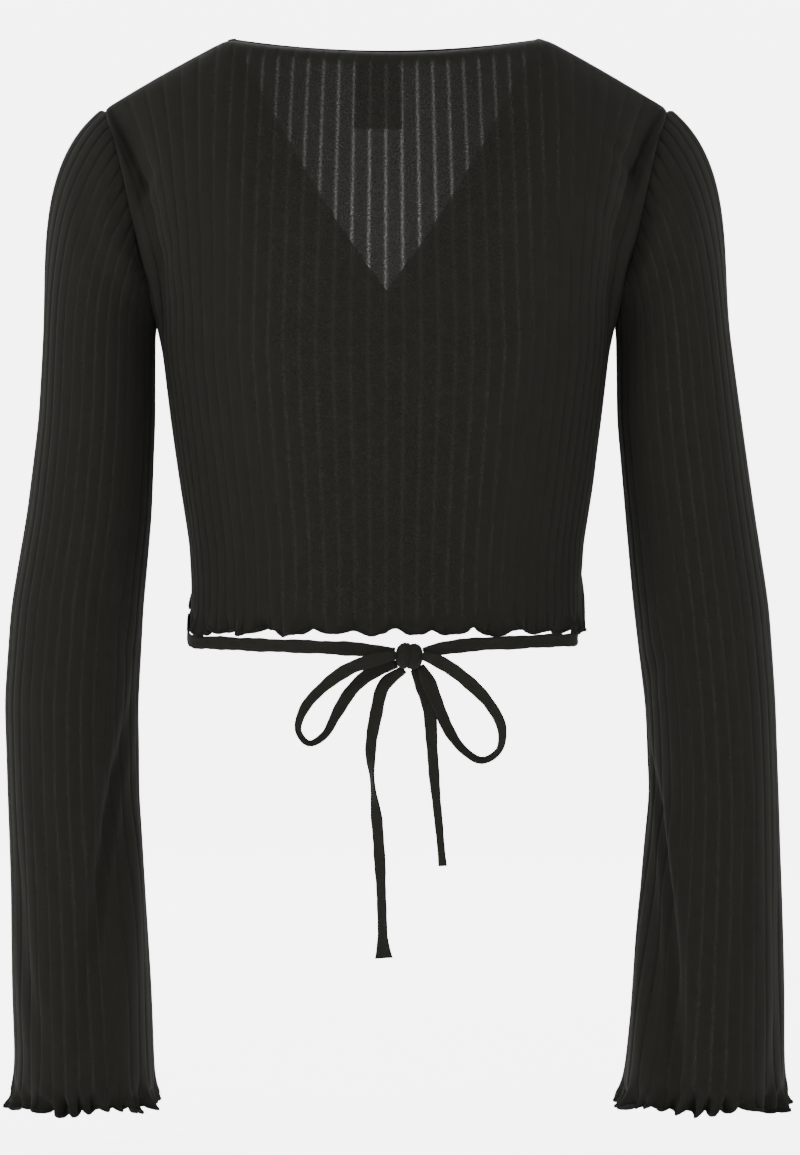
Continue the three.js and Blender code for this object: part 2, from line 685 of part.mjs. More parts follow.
const UP = vec(0, 0, 1);
const BACKWARD = vec(0, 1, 0);
const SIDEWAYS = vec(1, 0, 0);
addPiece('tie_waist_left', strap(WAIST_LEFT, UP, 16));
addPiece('tie_waist_right', strap(WAIST_RIGHT, UP, 16));
addPiece('bow_loop_left', strap(LOOP_LEFT, BACKWARD, 18));
addPiece('bow_loop_right', strap(LOOP_RIGHT, BACKWARD, 18));
addPiece('tie_end_left', strap(END_LEFT, SIDEWAYS, 14));
addPiece('tie_end_right', strap(END_RIGHT, SIDEWAYS, 10));

export default garment;
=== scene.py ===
"""Ribbed wrap crop top with long flared sleeves and a bow at the back waist.

The cloth is black rib jersey with an open needle line between its ribs. Shapes are worked out
in millimetres in the part's own frame, +Z up with the wearer facing -Y and the wearer's left at
+X, and are written to the meshes in metres.
"""
import math

import bpy
import numpy as np
from bpy.props import FloatProperty, FloatVectorProperty, IntProperty, PointerProperty
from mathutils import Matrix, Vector


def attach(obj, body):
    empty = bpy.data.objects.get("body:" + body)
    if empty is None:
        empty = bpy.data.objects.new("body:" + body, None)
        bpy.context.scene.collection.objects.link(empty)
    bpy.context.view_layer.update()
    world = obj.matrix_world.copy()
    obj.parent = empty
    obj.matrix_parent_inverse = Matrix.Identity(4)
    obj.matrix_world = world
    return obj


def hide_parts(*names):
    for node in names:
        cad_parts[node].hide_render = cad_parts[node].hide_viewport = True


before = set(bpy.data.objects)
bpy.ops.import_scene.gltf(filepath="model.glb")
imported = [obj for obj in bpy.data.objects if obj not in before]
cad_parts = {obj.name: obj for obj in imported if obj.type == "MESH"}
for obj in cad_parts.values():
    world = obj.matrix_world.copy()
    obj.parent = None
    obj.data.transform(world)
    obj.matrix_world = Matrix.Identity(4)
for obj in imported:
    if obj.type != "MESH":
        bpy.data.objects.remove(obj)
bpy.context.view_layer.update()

bl_info = {
    "name": "Ribbed Wrap Crop Top",
    "version": (1, 0, 0),
    "blender": (4, 5, 0),
    "location": "View3D > Sidebar > Crop Top",
    "description": "Makes a ribbed wrap crop top with flared sleeves and a bow at the back",
    "category": "Add Mesh",
}

MM = 0.001
LEFT, RIGHT = 1, -1
BACK, FRONT = 1, -1

# Sizes of the body, as in the part
HEM_Z = -372.0
CHEST_RISE = 172.0
UNDERARM = np.array([144.5, 0.0, -165.0])
SHOULDER_TIP = np.array([182.0, 0.0, -45.0])
NECK_POINT = np.array([100.0, 10.0, 0.0])
NECK_SHARE = 0.525
TIP_SHARE = 0.875
NECK = {BACK: {"depth": 38.0, "drop": 12.0}, FRONT: {"depth": 70.0, "drop": 4.0}}
ARMHOLE_BULGE = {BACK: 46.0, FRONT: 44.0}
SHOULDER_CAMBER = 1.0
SECTION_ROUNDNESS = 0.92
PROFILE_FULLNESS = 0.85
NECK_ROUNDING = 0.6
FULLNESS_GAIN = 1.2
SEAM_GAP = 0.3
WRAP = {"crossing": -160.0, "slope": 271.0, "bend": 58.0, "end": 0.93}
OVERLAP = {"lift": 3.2, "start": 34.0, "ramp": 22.0, "seam_share": 0.955}

# Torso sections from the hem up: height, half width, and depth behind and in front
TORSO = {
    "z": [-380, -345, -320, -280, -240, -200],
    "half": [123, 122, 123.5, 129.5, 135, 140],
    BACK: [84, 83, 84, 88, 92, 95],
    FRONT: [86, 86, 89, 99, 110, 114],
}

# Fullness above the chest by the share across
FULLNESS = {
    "share": [0, 0.3, 0.5, 0.7, 0.875, 0.9, 0.925, 0.95, 1],
    BACK: [18, 22, 28, 36, 42, 30, 14, 4, 0],
    FRONT: [4, 8, 15, 28, 40, 28, 13, 4, 0],
    "swing": [1, 1, 1.2, 1.8, 3, 2, 1.5, 1.2, 1],
}

# Sleeve sections from the armhole down: height, edges near and far from the body, and depth
SLEEVE_Z = [-190, -240, -300, -360, -420, -480, -540, -600, -645, -668, -677]
SLEEVE_Y = [-2, -3, -6, -10, -15, -20, -25, -29, -32, -33, -33]
SLEEVE_DEPTH = [41, 42, 43, 44, 45, 46, 48, 51, 53, 55, 56]
SLEEVES = {
    LEFT: {
        "near": [148, 148, 151, 157, 160, 160, 156, 153, 151, 150, 149],
        "far": [217, 220, 227, 237, 242, 241, 239, 238, 237, 238, 240],
        "folds": [
            {"z": (-430, -650), "angle": (152, 95), "depth": 5.5, "width": 16},
            {"z": (-330, -520), "angle": (300, 250), "depth": 3.5, "width": 18},
        ],
    },
    RIGHT: {
        "near": [147.5, 148, 154, 160, 167, 170, 166, 161, 156, 153, 151],
        "far": [218, 225, 233, 242, 247, 250, 252, 253, 254, 255, 257],
        "folds": [
            {"z": (-455, -715), "angle": (168, 106), "depth": 6.5, "width": 15},
            {"z": (-350, -540), "angle": (290, 245), "depth": 3.5, "width": 18},
        ],
    },
}
SLEEVE_START = {"lean": 0.78, "underarm_lean": 0.02, "spread": 0.15, "shift": 0.6}
SIDE_NAME = {LEFT: "left", RIGHT: "right"}

# Routes of the ties as in the part: x, y, z, turn of the width in degrees, share of the width
WAIST_LEFT = [
    (125.8, -9.2, -367, 0, 1), (126, -4, -370.5, 0, 1), (125.6, 3, -378.5, 0, 1),
    (121.5, 18, -381, 0, 1), (104, 46.5, -381.5, 0, 1), (78, 67, -382.5, 0, 1),
    (44, 81, -383.5, 0, 1), (14, 86.5, -385, 0, 1), (-5.7, 88.5, -386.5, 0, 0.6),
]
WAIST_RIGHT = [
    (-122.4, -9.3, -367, 0, 1), (-121, -4.5, -369.5, 0, 1), (-121.2, 3, -377, 0, 1),
    (-119.5, 20, -379.5, 0, 1), (-103, 47.5, -380, 0, 1), (-80, 66, -381, 0, 1),
    (-55, 77.5, -382, 0, 1), (-34, 84.5, -384.5, 0, 1), (-23.3, 88.5, -386.5, 0, 0.6),
]
LOOP_LEFT = [
    (-6.4, 92.4, -388.5, 88, 0.6), (8, 95, -391.5, 82, 1), (23, 95, -397, 70, 1),
    (38.4, 93, -408, 55, 1), (50, 91, -421, 40, 1), (54, 89, -435, 25, 1),
    (47.5, 88, -443, 20, 1), (38, 88, -438, 30, 1), (30, 88, -424, 50, 1),
    (21, 87.5, -410, 66, 1), (9, 87.5, -399.5, 80, 1), (-7, 88, -393.8, 88, 0.6),
]
LOOP_RIGHT = [
    (-22.6, 92.4, -388.5, 92, 0.6), (-36, 95, -394, 96, 1), (-51, 94.5, -405, 108, 1),
    (-64, 92, -418.5, 125, 1), (-71.5, 90, -433, 142, 1), (-70, 88.5, -447, 155, 1),
    (-59.5, 88, -453.5, 155, 1), (-48, 88, -447, 145, 1), (-38.5, 88, -434, 130, 1),
    (-31.5, 87.5, -417, 115, 1), (-26, 87.5, -404, 100, 1), (-21.2, 88, -395, 92, 0.6),
]
END_LEFT = [
    (-11.3, 86, -397.2, 5, 0.6), (1, 83.4, -407, 10, 1), (6, 83, -425, 25, 1),
    (9.3, 84, -446, 35, 1), (8.4, 85, -465, 75, 1), (5.4, 85, -492, 35, 1),
    (3.5, 84.5, -520, 35, 0.95), (2.2, 84, -552, 40, 0.85), (1.8, 84, -566, 25, 0.95),
    (1.2, 84, -576, 0, 1.25),
]
END_RIGHT = [
    (-17.6, 86, -397.2, 0, 0.6), (-22.5, 83.4, -408, 10, 1), (-27, 83, -424, 25, 1),
    (-28.6, 83.5, -445, 35, 1), (-30.5, 84, -470, 40, 0.9), (-33, 84, -495, 45, 0.75),
    (-35.2, 84, -519, 40, 0.72),
]
UPWARDS, BACKWARDS, SIDEWAYS = (0.0, 0.0, 1.0), (0.0, 1.0, 0.0), (1.0, 0.0, 0.0)
KNOT = {"centre": (-14.5, 89.0, -389.0), "radii": (8.3, 6.4, 8.5)}

# Soft creases of the back, from the first point to the second: x and z, depth and half width
BACK_CREASES = [
    {"from": (146, -85), "to": (155, -108), "depth": 1.6, "width": 4},
    {"from": (128, -120), "to": (150, -158), "depth": 1.0, "width": 6},
    {"from": (-138, -68), "to": (-155, -94), "depth": 1.6, "width": 4},
    {"from": (-126, -104), "to": (-150, -150), "depth": 1.1, "width": 6},
    {"from": (100, -205), "to": (133, -150), "depth": 0.7, "width": 8},
    {"from": (-96, -210), "to": (-132, -160), "depth": 0.8, "width": 8},
    {"from": (112, -250), "to": (104, -345), "depth": 1.2, "width": 7},
    {"from": (-115, -262), "to": (-104, -350), "depth": 0.9, "width": 7},
    {"from": (40, -300), "to": (90, -330), "depth": 0.5, "width": 9},
    {"from": (-30, -270), "to": (-92, -318), "depth": 0.5, "width": 9},
]
FRONT_CREASES = [
    {"from": (146, -88), "to": (153, -112), "depth": 1.5, "width": 4},
    {"from": (-144, -84), "to": (-154, -110), "depth": 1.5, "width": 4},
    {"from": (120, -230), "to": (60, -190), "depth": 1.3, "width": 8},
    {"from": (-122, -235), "to": (-64, -192), "depth": 1.3, "width": 8},
    {"from": (108, -330), "to": (20, -240), "depth": 1.0, "width": 9},
    {"from": (-110, -322), "to": (-30, -262), "depth": 0.9, "width": 9},
]

# Soft creases of the sleeves: angle round the sleeve and height of both ends
SLEEVE_CREASES = {
    LEFT: [
        {"from": (158, -420), "to": (92, -665), "depth": 2.6, "width": 7},
        {"from": (136, -470), "to": (112, -640), "depth": 1.3, "width": 5},
        {"from": (70, -96), "to": (150, -150), "depth": 1.6, "width": 8},
        {"from": (40, -80), "to": (120, -170), "depth": 1.0, "width": 9},
        {"from": (100, -330), "to": (160, -395), "depth": 1.2, "width": 10},
        {"from": (60, -440), "to": (95, -560), "depth": 1.0, "width": 8},
        {"from": (35, -520), "to": (60, -640), "depth": 1.4, "width": 8},
        {"from": (250, -110), "to": (200, -170), "depth": 1.6, "width": 9},
        {"from": (320, -560), "to": (300, -660), "depth": 1.5, "width": 9},
    ],
    RIGHT: [
        {"from": (172, -450), "to": (112, -690), "depth": 3.0, "width": 7},
        {"from": (146, -500), "to": (128, -660), "depth": 1.4, "width": 5},
        {"from": (75, -92), "to": (150, -150), "depth": 1.8, "width": 8},
        {"from": (50, -84), "to": (125, -176), "depth": 1.0, "width": 9},
        {"from": (95, -350), "to": (165, -410), "depth": 1.3, "width": 10},
        {"from": (70, -470), "to": (88, -655), "depth": 1.3, "width": 7},
        {"from": (30, -540), "to": (40, -665), "depth": 1.2, "width": 8},
        {"from": (250, -110), "to": (200, -170), "depth": 1.6, "width": 9},
        {"from": (310, -560), "to": (290, -660), "depth": 1.5, "width": 9},
    ],
}

# Places of the columns inside one rib, close together at the open needle line
RIB_FRACTIONS = [0.0, 0.08, 0.28, 0.5, 0.72, 0.92]


class CropTopSizes(bpy.types.PropertyGroup):
    """Sizes of the cloth that a user would change"""

    thickness: FloatProperty(
        name="Cloth thickness", description="Thickness of the jersey",
        default=0.8 * MM, subtype="DISTANCE", unit="LENGTH")
    stand: FloatProperty(
        name="Cloth stand", description="Height of the cloth's face above the body's surface",
        default=1.2 * MM, subtype="DISTANCE", unit="LENGTH")
    rib_height: FloatProperty(
        name="Rib height", description="Height of a rib above the needle line",
        default=0.6 * MM, subtype="DISTANCE", unit="LENGTH")
    needle_line: FloatProperty(
        name="Needle line", description="Half width of the needle line as a share of a rib",
        default=0.075)
    body_ribs: IntProperty(
        name="Body ribs", description="Ribs across half of the back", default=20)
    sleeve_ribs: IntProperty(
        name="Sleeve ribs", description="Ribs round a sleeve", default=32)
    hem_wave: FloatProperty(
        name="Hem wave", description="How far the waves of the hem stand out",
        default=4.2 * MM, subtype="DISTANCE", unit="LENGTH")
    hem_waves: IntProperty(
        name="Hem waves", description="Waves across the back hem", default=13)
    cuff_wave: FloatProperty(
        name="Cuff wave", description="How far the waves of a cuff stand out",
        default=5.0 * MM, subtype="DISTANCE", unit="LENGTH")
    cuff_waves: IntProperty(
        name="Cuff waves", description="Small waves round a cuff", default=27)
    edge_radius: FloatProperty(
        name="Edge radius", description="Radius of the overlocked edge",
        default=0.9 * MM, subtype="DISTANCE", unit="LENGTH")
    binding_width: FloatProperty(
        name="Binding width", description="Visible width of the neck binding",
        default=5.4 * MM, subtype="DISTANCE", unit="LENGTH")
    tie_width: FloatProperty(
        name="Tie width", description="Width of a tie",
        default=8.5 * MM, subtype="DISTANCE", unit="LENGTH")
    tie_thickness: FloatProperty(
        name="Tie thickness", description="Thickness of a tie",
        default=1.8 * MM, subtype="DISTANCE", unit="LENGTH")


class CropTopColours(bpy.types.PropertyGroup):
    """Colours of the cloth and the stage"""

    cloth: FloatVectorProperty(
        name="Cloth", description="Colour of the jersey", subtype="COLOR",
        size=3, default=(0.0070, 0.0068, 0.0053), min=0.0, max=1.0)
    # The needle line colour is lighter than the cloth: painted light showing through the open ladder
    line: FloatVectorProperty(
        name="Needle line", description="Colour of the thin yarns in the needle lines",
        subtype="COLOR", size=3, default=(0.0120, 0.0117, 0.0098), min=0.0, max=1.0)
    edge: FloatVectorProperty(
        name="Edge yarn", description="Colour of the overlock yarn", subtype="COLOR",
        size=3, default=(0.0050, 0.0049, 0.0042), min=0.0, max=1.0)
    label: FloatVectorProperty(
        name="Label", description="Colour of the label tape", subtype="COLOR",
        size=3, default=(0.0060, 0.0060, 0.0055), min=0.0, max=1.0)
    floor: FloatVectorProperty(
        name="Floor", description="Colour of the floor and backdrop", subtype="COLOR",
        size=3, default=(0.86, 0.86, 0.86), min=0.0, max=1.0)


def sizes():
    return bpy.context.scene.crop_top_sizes


def colours():
    return bpy.context.scene.crop_top_colours


def ease(value, low, high):
    """Smooth step: 3t^2 - 2t^3 of the value's share between low and high."""
    share = np.clip((value - low) / (high - low), 0.0, 1.0)
    return share * share * (3.0 - 2.0 * share)


def mix(low, high, share):
    return low + (high - low) * share


def points_of(x, y, z):
    return np.stack(np.broadcast_arrays(x, y, z), axis=-1).astype(float)


def unit(vectors):
    length = np.linalg.norm(vectors, axis=-1, keepdims=True)
    return vectors / np.maximum(length, 1e-9)


def armhole(share, face):
    """Armhole edge of the left side, 0 at the shoulder tip and 1 at the underarm: x and z run
    from one to the other, and y bulges as a power of a half sine."""
    bulge = face * ARMHOLE_BULGE[face] * np.sin(np.pi * np.clip(share, 0, 1)) ** 0.8
    x = mix(SHOULDER_TIP[0], UNDERARM[0], share ** 0.8)
    z = mix(SHOULDER_TIP[2], UNDERARM[2], 0.5 - 0.5 * np.cos(np.pi * share))
    return points_of(x, bulge, z)


def top_edge(share, face):
    """Top edge at a share across: a parabola at the neck, a cambered line along the shoulder,
    then the armhole."""
    across = np.abs(share)
    side = np.where(share < 0, -1.0, 1.0)
    part = np.clip(across / NECK_SHARE, 0, 1)
    dip = 1 - part * part
    neck = points_of(
        NECK_POINT[0] * part, NECK_POINT[1] + face * NECK[face]["depth"] * dip,
        NECK_POINT[2] - NECK[face]["drop"] * dip)
    part = np.clip((across - NECK_SHARE) / (TIP_SHARE - NECK_SHARE), 0, 1)[..., None]
    shoulder = mix(NECK_POINT, SHOULDER_TIP, part)
    shoulder[..., 2] += SHOULDER_CAMBER * np.sin(np.pi * part[..., 0])
    arm = armhole(np.clip((across - TIP_SHARE) / (1 - TIP_SHARE), 0, 1), face)
    edge = np.where((across <= NECK_SHARE)[..., None], neck, shoulder)
    edge = np.where((across > TIP_SHARE)[..., None], arm, edge)
    edge[..., 0] *= side
    return edge


def body_form(share, level, face):
    """Smooth body surface. Level 0 to 1 runs from the hem to the chest through the torso's
    sections, each an ellipse-like curve; level 1 to 2 rises to the top edge over a rounded
    profile with the blades' or chest's fullness added."""
    angle = share * np.pi / 2
    lower = np.clip(level, 0, 1)
    z = HEM_Z + CHEST_RISE * lower
    half = np.interp(z, TORSO["z"], TORSO["half"])
    depth = np.interp(z, TORSO["z"], TORSO[face])
    gap = face * SEAM_GAP / 2
    cosine = np.clip(np.cos(angle), 0, 1) ** SECTION_ROUNDNESS
    trunk = points_of(half * np.sin(angle), gap + face * depth * cosine, z)
    top = top_edge(share, face)
    rise = np.clip(level - 1, 0, 1) * np.pi / 2
    up = np.sin(rise)
    across = np.abs(share)
    near_neck = mix(NECK_ROUNDING, 1, ease(across, NECK_SHARE - 0.2, NECK_SHARE))
    rounded = near_neck * (1 - ease(across, TIP_SHARE - 0.12, TIP_SHARE + 0.04))
    curled = np.clip(np.cos(rise), 0, 1) ** PROFILE_FULLNESS
    keep = mix(1 - up, curled, rounded)
    full = np.interp(across, FULLNESS["share"], FULLNESS[face])
    full = face * full * ease(up, 0, 0.6) * curled * FULLNESS_GAIN
    swing = up ** np.interp(across, FULLNESS["share"], FULLNESS["swing"])
    rising = points_of(
        mix(trunk[..., 0], top[..., 0], swing),
        mix(top[..., 1] + gap, trunk[..., 1], keep) + full,
        mix(trunk[..., 2], top[..., 2], up))
    return np.where((level > 1)[..., None], rising, trunk)


def smoothed(grid, passes, closed=False):
    """Grid with each inner point moved to the weighted mean of its neighbours, over and over."""
    grid = grid.copy()
    for _ in range(passes):
        if closed:
            grid = (np.roll(grid, 1, 0) + 2 * grid + np.roll(grid, -1, 0)) / 4
        else:
            grid[1:-1] = (grid[:-2] + 2 * grid[1:-1] + grid[2:]) / 4
        grid[:, 1:-1] = (grid[:, :-2] + 2 * grid[:, 1:-1] + grid[:, 2:]) / 4
    return grid


def normals_of(grid, closed=False):
    """Unit cross product of the steps to the right and up along the grid."""
    if closed:
        across = np.roll(grid, -1, 0) - np.roll(grid, 1, 0)
    else:
        across = np.gradient(grid, axis=0)
    return unit(np.cross(across, np.gradient(grid, axis=1)))


def sample(grid, across, along):
    """Grid values at fractional places, straight between the four nearest points."""
    i = np.clip(np.floor(across).astype(int), 0, grid.shape[0] - 2)
    j = np.clip(np.floor(along).astype(int), 0, grid.shape[1] - 2)
    s = (across - i)[..., None]
    t = (along - j)[..., None]
    low = mix(grid[i, j], grid[i + 1, j], s)
    high = mix(grid[i, j + 1], grid[i + 1, j + 1], s)
    return mix(low, high, t)


class BodySurface:
    """Smoothed back or front surface with its normals, read at any share and level."""

    columns = 321
    rows = 241

    def __init__(self, face):
        self.face = face
        share = np.linspace(1, -1, self.columns) * face
        level = np.linspace(0, 2, self.rows)
        grid = body_form(*np.meshgrid(share, level, indexing="ij"), face)
        self.grid = smoothed(grid, 14)
        self.normals = normals_of(self.grid)
        for edge in (0, -1):
            self.normals[edge, :, 1] = 0
        self.normals = unit(self.normals)

    def place(self, share, level):
        across = (1 - self.face * share) * (self.columns - 1) / 2
        along = level * (self.rows - 1) / 2
        return np.broadcast_arrays(across, along)

    def point(self, share, level):
        return sample(self.grid, *self.place(share, level))

    def normal(self, share, level):
        return unit(sample(self.normals, *self.place(share, level)))


SURFACE = {BACK: BodySurface(BACK), FRONT: BodySurface(FRONT)}


def rib_shares(count, low, high):
    """Places of all columns from low to high, in ribs, with the fractions of each rib."""
    whole = np.arange(math.floor(low), math.ceil(high) + 1)
    places = (whole[:, None] + np.array(RIB_FRACTIONS)[None, :]).ravel()
    inside = places[(places > low + 0.02) & (places < high - 0.02)]
    return np.concatenate([[low], inside, [high]]) / count


def rib_profile(place):
    """Height share across a rib: 0 in the needle line, 1 on the rib, as one minus a Gaussian
    of the distance to the nearest line, plus a slight crown."""
    away = np.abs(place - np.round(place))
    line = np.exp(-(away / sizes().needle_line) ** 2)
    return (1 - line) * (0.86 + 0.14 * np.sin(np.pi * np.clip(away * 2, 0, 1) / 2))


def crease_depth(first, second, creases):
    """Depth of soft troughs along straight lines in two coordinates: a Gaussian across each
    line with a low ridge on both sides, fading towards both ends."""
    depth = np.zeros(np.broadcast(first, second).shape)
    for crease in creases:
        start = np.array(crease["from"], dtype=float)
        run = np.array(crease["to"], dtype=float) - start
        length = np.hypot(*run)
        along = ((first - start[0]) * run[0] + (second - start[1]) * run[1]) / length ** 2
        bow = 0.06 * length * np.sin(np.pi * np.clip(along, 0, 1))
        off = ((first - start[0]) * run[1] - (second - start[1]) * run[0]) / length - bow
        off = off / crease["width"]
        fade = ease(along, -0.15, 0.25) * (1 - ease(along, 0.7, 1.15))
        trough = np.exp(-off ** 2) - 0.45 * np.exp(-(np.abs(off) - 1.8) ** 2)
        depth += crease["depth"] * fade * trough
    return depth


def hem_wave(share, face, fade_from):
    """Uneven wave across the hem: a sine whose pace wanders, with a slower second one."""
    fade = 1 - ease(np.abs(share), fade_from, 0.97)
    turn = share * sizes().hem_waves * np.pi + (0.4 if face > 0 else 1.7)
    main = np.sin(turn + 0.9 * np.sin(share * 7))
    small = 0.4 * np.sin(turn * 2.3 + 1.4 * np.sin(share * 11)) * np.cos(share * 5 + face)
    return fade * (main + 0.5 * np.sin(turn * 0.61 + 1) + small) / 1.6


def wrap_height(own):
    return WRAP["crossing"] + WRAP["slope"] * own + WRAP["bend"] * own * own


def no_lift(share, points):
    return np.zeros(points.shape[:-1])


def right_lift(share, points):
    """Lift of the right front off the left one: a smooth ramp above the left front's edge,
    falling away at its own side seam."""
    reach = wrap_height(share) + OVERLAP["start"] - points[..., 2]
    lift = OVERLAP["lift"] * ease(reach, 0, OVERLAP["ramp"])
    return lift * ease(share, -1, -OVERLAP["seam_share"])


def write_mesh(name, vertices, faces, uvs=None, masks=None):
    """Mesh from points in millimetres, quads or triangles, and values for each point."""
    mesh = bpy.data.meshes.new(name)
    mesh.from_pydata((vertices * MM).tolist(), [], faces.tolist())
    corners = np.empty(len(mesh.loops), dtype=np.int32)
    mesh.loops.foreach_get("vertex_index", corners)
    if uvs is not None:
        layer = mesh.uv_layers.new(name="cloth")
        layer.data.foreach_set("uv", uvs[corners].astype(np.float32).ravel())
    for key, values in (masks or {}).items():
        attribute = mesh.attributes.new(key, "FLOAT", "POINT")
        attribute.data.foreach_set("value", values.astype(np.float32).ravel())
    mesh.polygons.foreach_set("use_smooth", np.ones(len(mesh.polygons), dtype=bool))
    mesh.update()
    obj = bpy.data.objects.new(name, mesh)
    bpy.context.scene.collection.objects.link(obj)
    return obj


def grid_faces(columns, rows, closed):
    """Quads of a grid whose columns run left to right and rows upwards, seen from outside."""
    count = columns if closed else columns - 1
    i = np.arange(count)[:, None]
    j = np.arange(rows - 1)[None, :]
    right = (i + 1) % columns
    quads = np.stack(np.broadcast_arrays(
        i * rows + j, right * rows + j, right * rows + j + 1, i * rows + j + 1), axis=-1)
    return quads.reshape(-1, 4)


def cloth_sheet(name, points, uvs, openness, closed=False):
    """Thin cloth over a grid of outer points, thickened inwards."""
    columns, rows = points.shape[:2]
    if closed:
        points = np.concatenate([points, points[:1]])
        uvs = np.concatenate([uvs, uvs[:1] + [[[uvs[-1, 0, 0] + 1 / 6 - uvs[0, 0, 0], 0]]]])
        openness = np.concatenate([openness, openness[:1]])
        columns += 1
    faces = grid_faces(columns, rows, False)
    obj = write_mesh(
        name, points.reshape(-1, 3), faces, uvs.reshape(-1, 2), {"openness": openness.ravel()})
    if closed:
        weld = obj.modifiers.new("close", "WELD")
        weld.merge_threshold = 0.02 * MM
    shell = obj.modifiers.new("thickness", "SOLIDIFY")
    shell.thickness = sizes().thickness
    shell.offset = -1
    return obj


def level_rows(hem_rows, rows):
    """Shares of a column's height: close rows in the wavy edge, even rows above it."""
    edge = np.linspace(0, 1, hem_rows, endpoint=False) ** 1.2 * 0.09
    return np.concatenate([edge, np.linspace(0.09, 1, rows)])


def body_panel(name, face, shares, top_level, lift, creases, fade_from, tuck):
    """Cloth of a body panel: the smooth surface moved out by the stand, the ribs, the creases
    and the hem's waves. A last row tucks under the neighbour at the seam."""
    surface = SURFACE[face]
    share = shares[:, None]
    rows = level_rows(12, 116)
    level = rows[None, :] * top_level[:, None]
    share, level = np.broadcast_arrays(share, level)
    points = surface.point(share, level)
    normals = surface.normal(share, level)
    height = level * CHEST_RISE
    wave = np.exp(-(height / 5.8) ** 2)
    profile = rib_profile(share * sizes().body_ribs)
    relief = sizes().rib_height / MM * profile
    out = sizes().stand / MM + relief + lift(share, points)
    out = out - crease_depth(points[..., 0], points[..., 2], creases)
    above = np.abs(points[..., 2] - points[:, -1:, 2]) + np.abs(points[..., 0] - points[:, -1:, 0])
    out = out - relief * np.exp(-(above / 3.0) ** 2) - 0.9 * np.exp(-(above / 3.6) ** 2)
    out = out - 0.4 * np.exp(-((1 - np.abs(share)) * 190 / 1.6) ** 2)
    out = out + 0.25 * np.sin(points[..., 2] * 0.031 + share * 9) * ease(height, 10, 60)
    points = points + normals * out[..., None]
    outward = points_of(np.sin(share * np.pi / 2), face * np.cos(share * np.pi / 2), 0)
    ripple = hem_wave(share, face, fade_from) + 0.12 * np.sin(share * 171 + face)
    points = points + outward * (sizes().hem_wave / MM * wave * ripple)[..., None]
    points[..., 2] += wave * (2.9 * hem_wave(share * 1.07 + 0.05, face, 0.9) - 1.9)
    centre = np.exp(-(share / 0.42) ** 2)
    blade = np.exp(-((points[..., 2] + 150) / 70) ** 2)
    # Openness sets the needle lines' see-through and also their painted tone: low at the sides, where the
    # lines are painted dark as shaded grooves
    openness = 0.04 + 0.50 * centre + 0.26 * centre * blade
    yoke = 0.16 * ease(points[..., 2], -150, -60) * (1 - ease(np.abs(share), 0.8, 0.95))
    openness = (openness + yoke) * (0.35 + 0.65 * ease(height, 2, 16)) * ease(above, 3, 14)
    length = np.cumsum(np.linalg.norm(np.diff(points, axis=1, prepend=points[:, :1]), axis=-1), axis=1)
    uvs = np.stack([share * sizes().body_ribs, length / 10], axis=-1)
    if tuck:
        onward = unit(points[:, -1] - points[:, -2])
        under = points[:, -1] + onward * 1.6 - normals[:, -1] * 1.1
        points = np.concatenate([points, under[:, None]], axis=1)
        uvs = np.concatenate([uvs, uvs[:, -1:] + [[[0, 0.2]]]], axis=1)
        openness = np.concatenate([openness, openness[:, -1:] * 0], axis=1)
    return cloth_sheet(name, points, uvs, openness), points


def finish(obj, slot, *nodes):
    if nodes:
        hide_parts(*nodes)
    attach(obj, "root")
    return obj


def front_columns(side):
    """Shares and top levels of a front panel's columns, from its own side to the far corner."""
    ribs = sizes().body_ribs
    own = rib_shares(ribs, -WRAP["end"] * ribs + 0.1, ribs)
    level = np.linspace(0, 2, 800)
    tops = np.full(own.shape, 2.0)
    for i in np.flatnonzero(own < NECK_SHARE):
        share = np.full(level.shape, side * own[i])
        heights = SURFACE[FRONT].point(share, level)[..., 2]
        tops[i] = np.interp(wrap_height(own[i]), heights, level)
    shares = side * own
    order = np.argsort(shares)
    return shares[order], tops[order]


def back_columns():
    ribs = sizes().body_ribs
    return rib_shares(ribs, -ribs, ribs)[::-1]


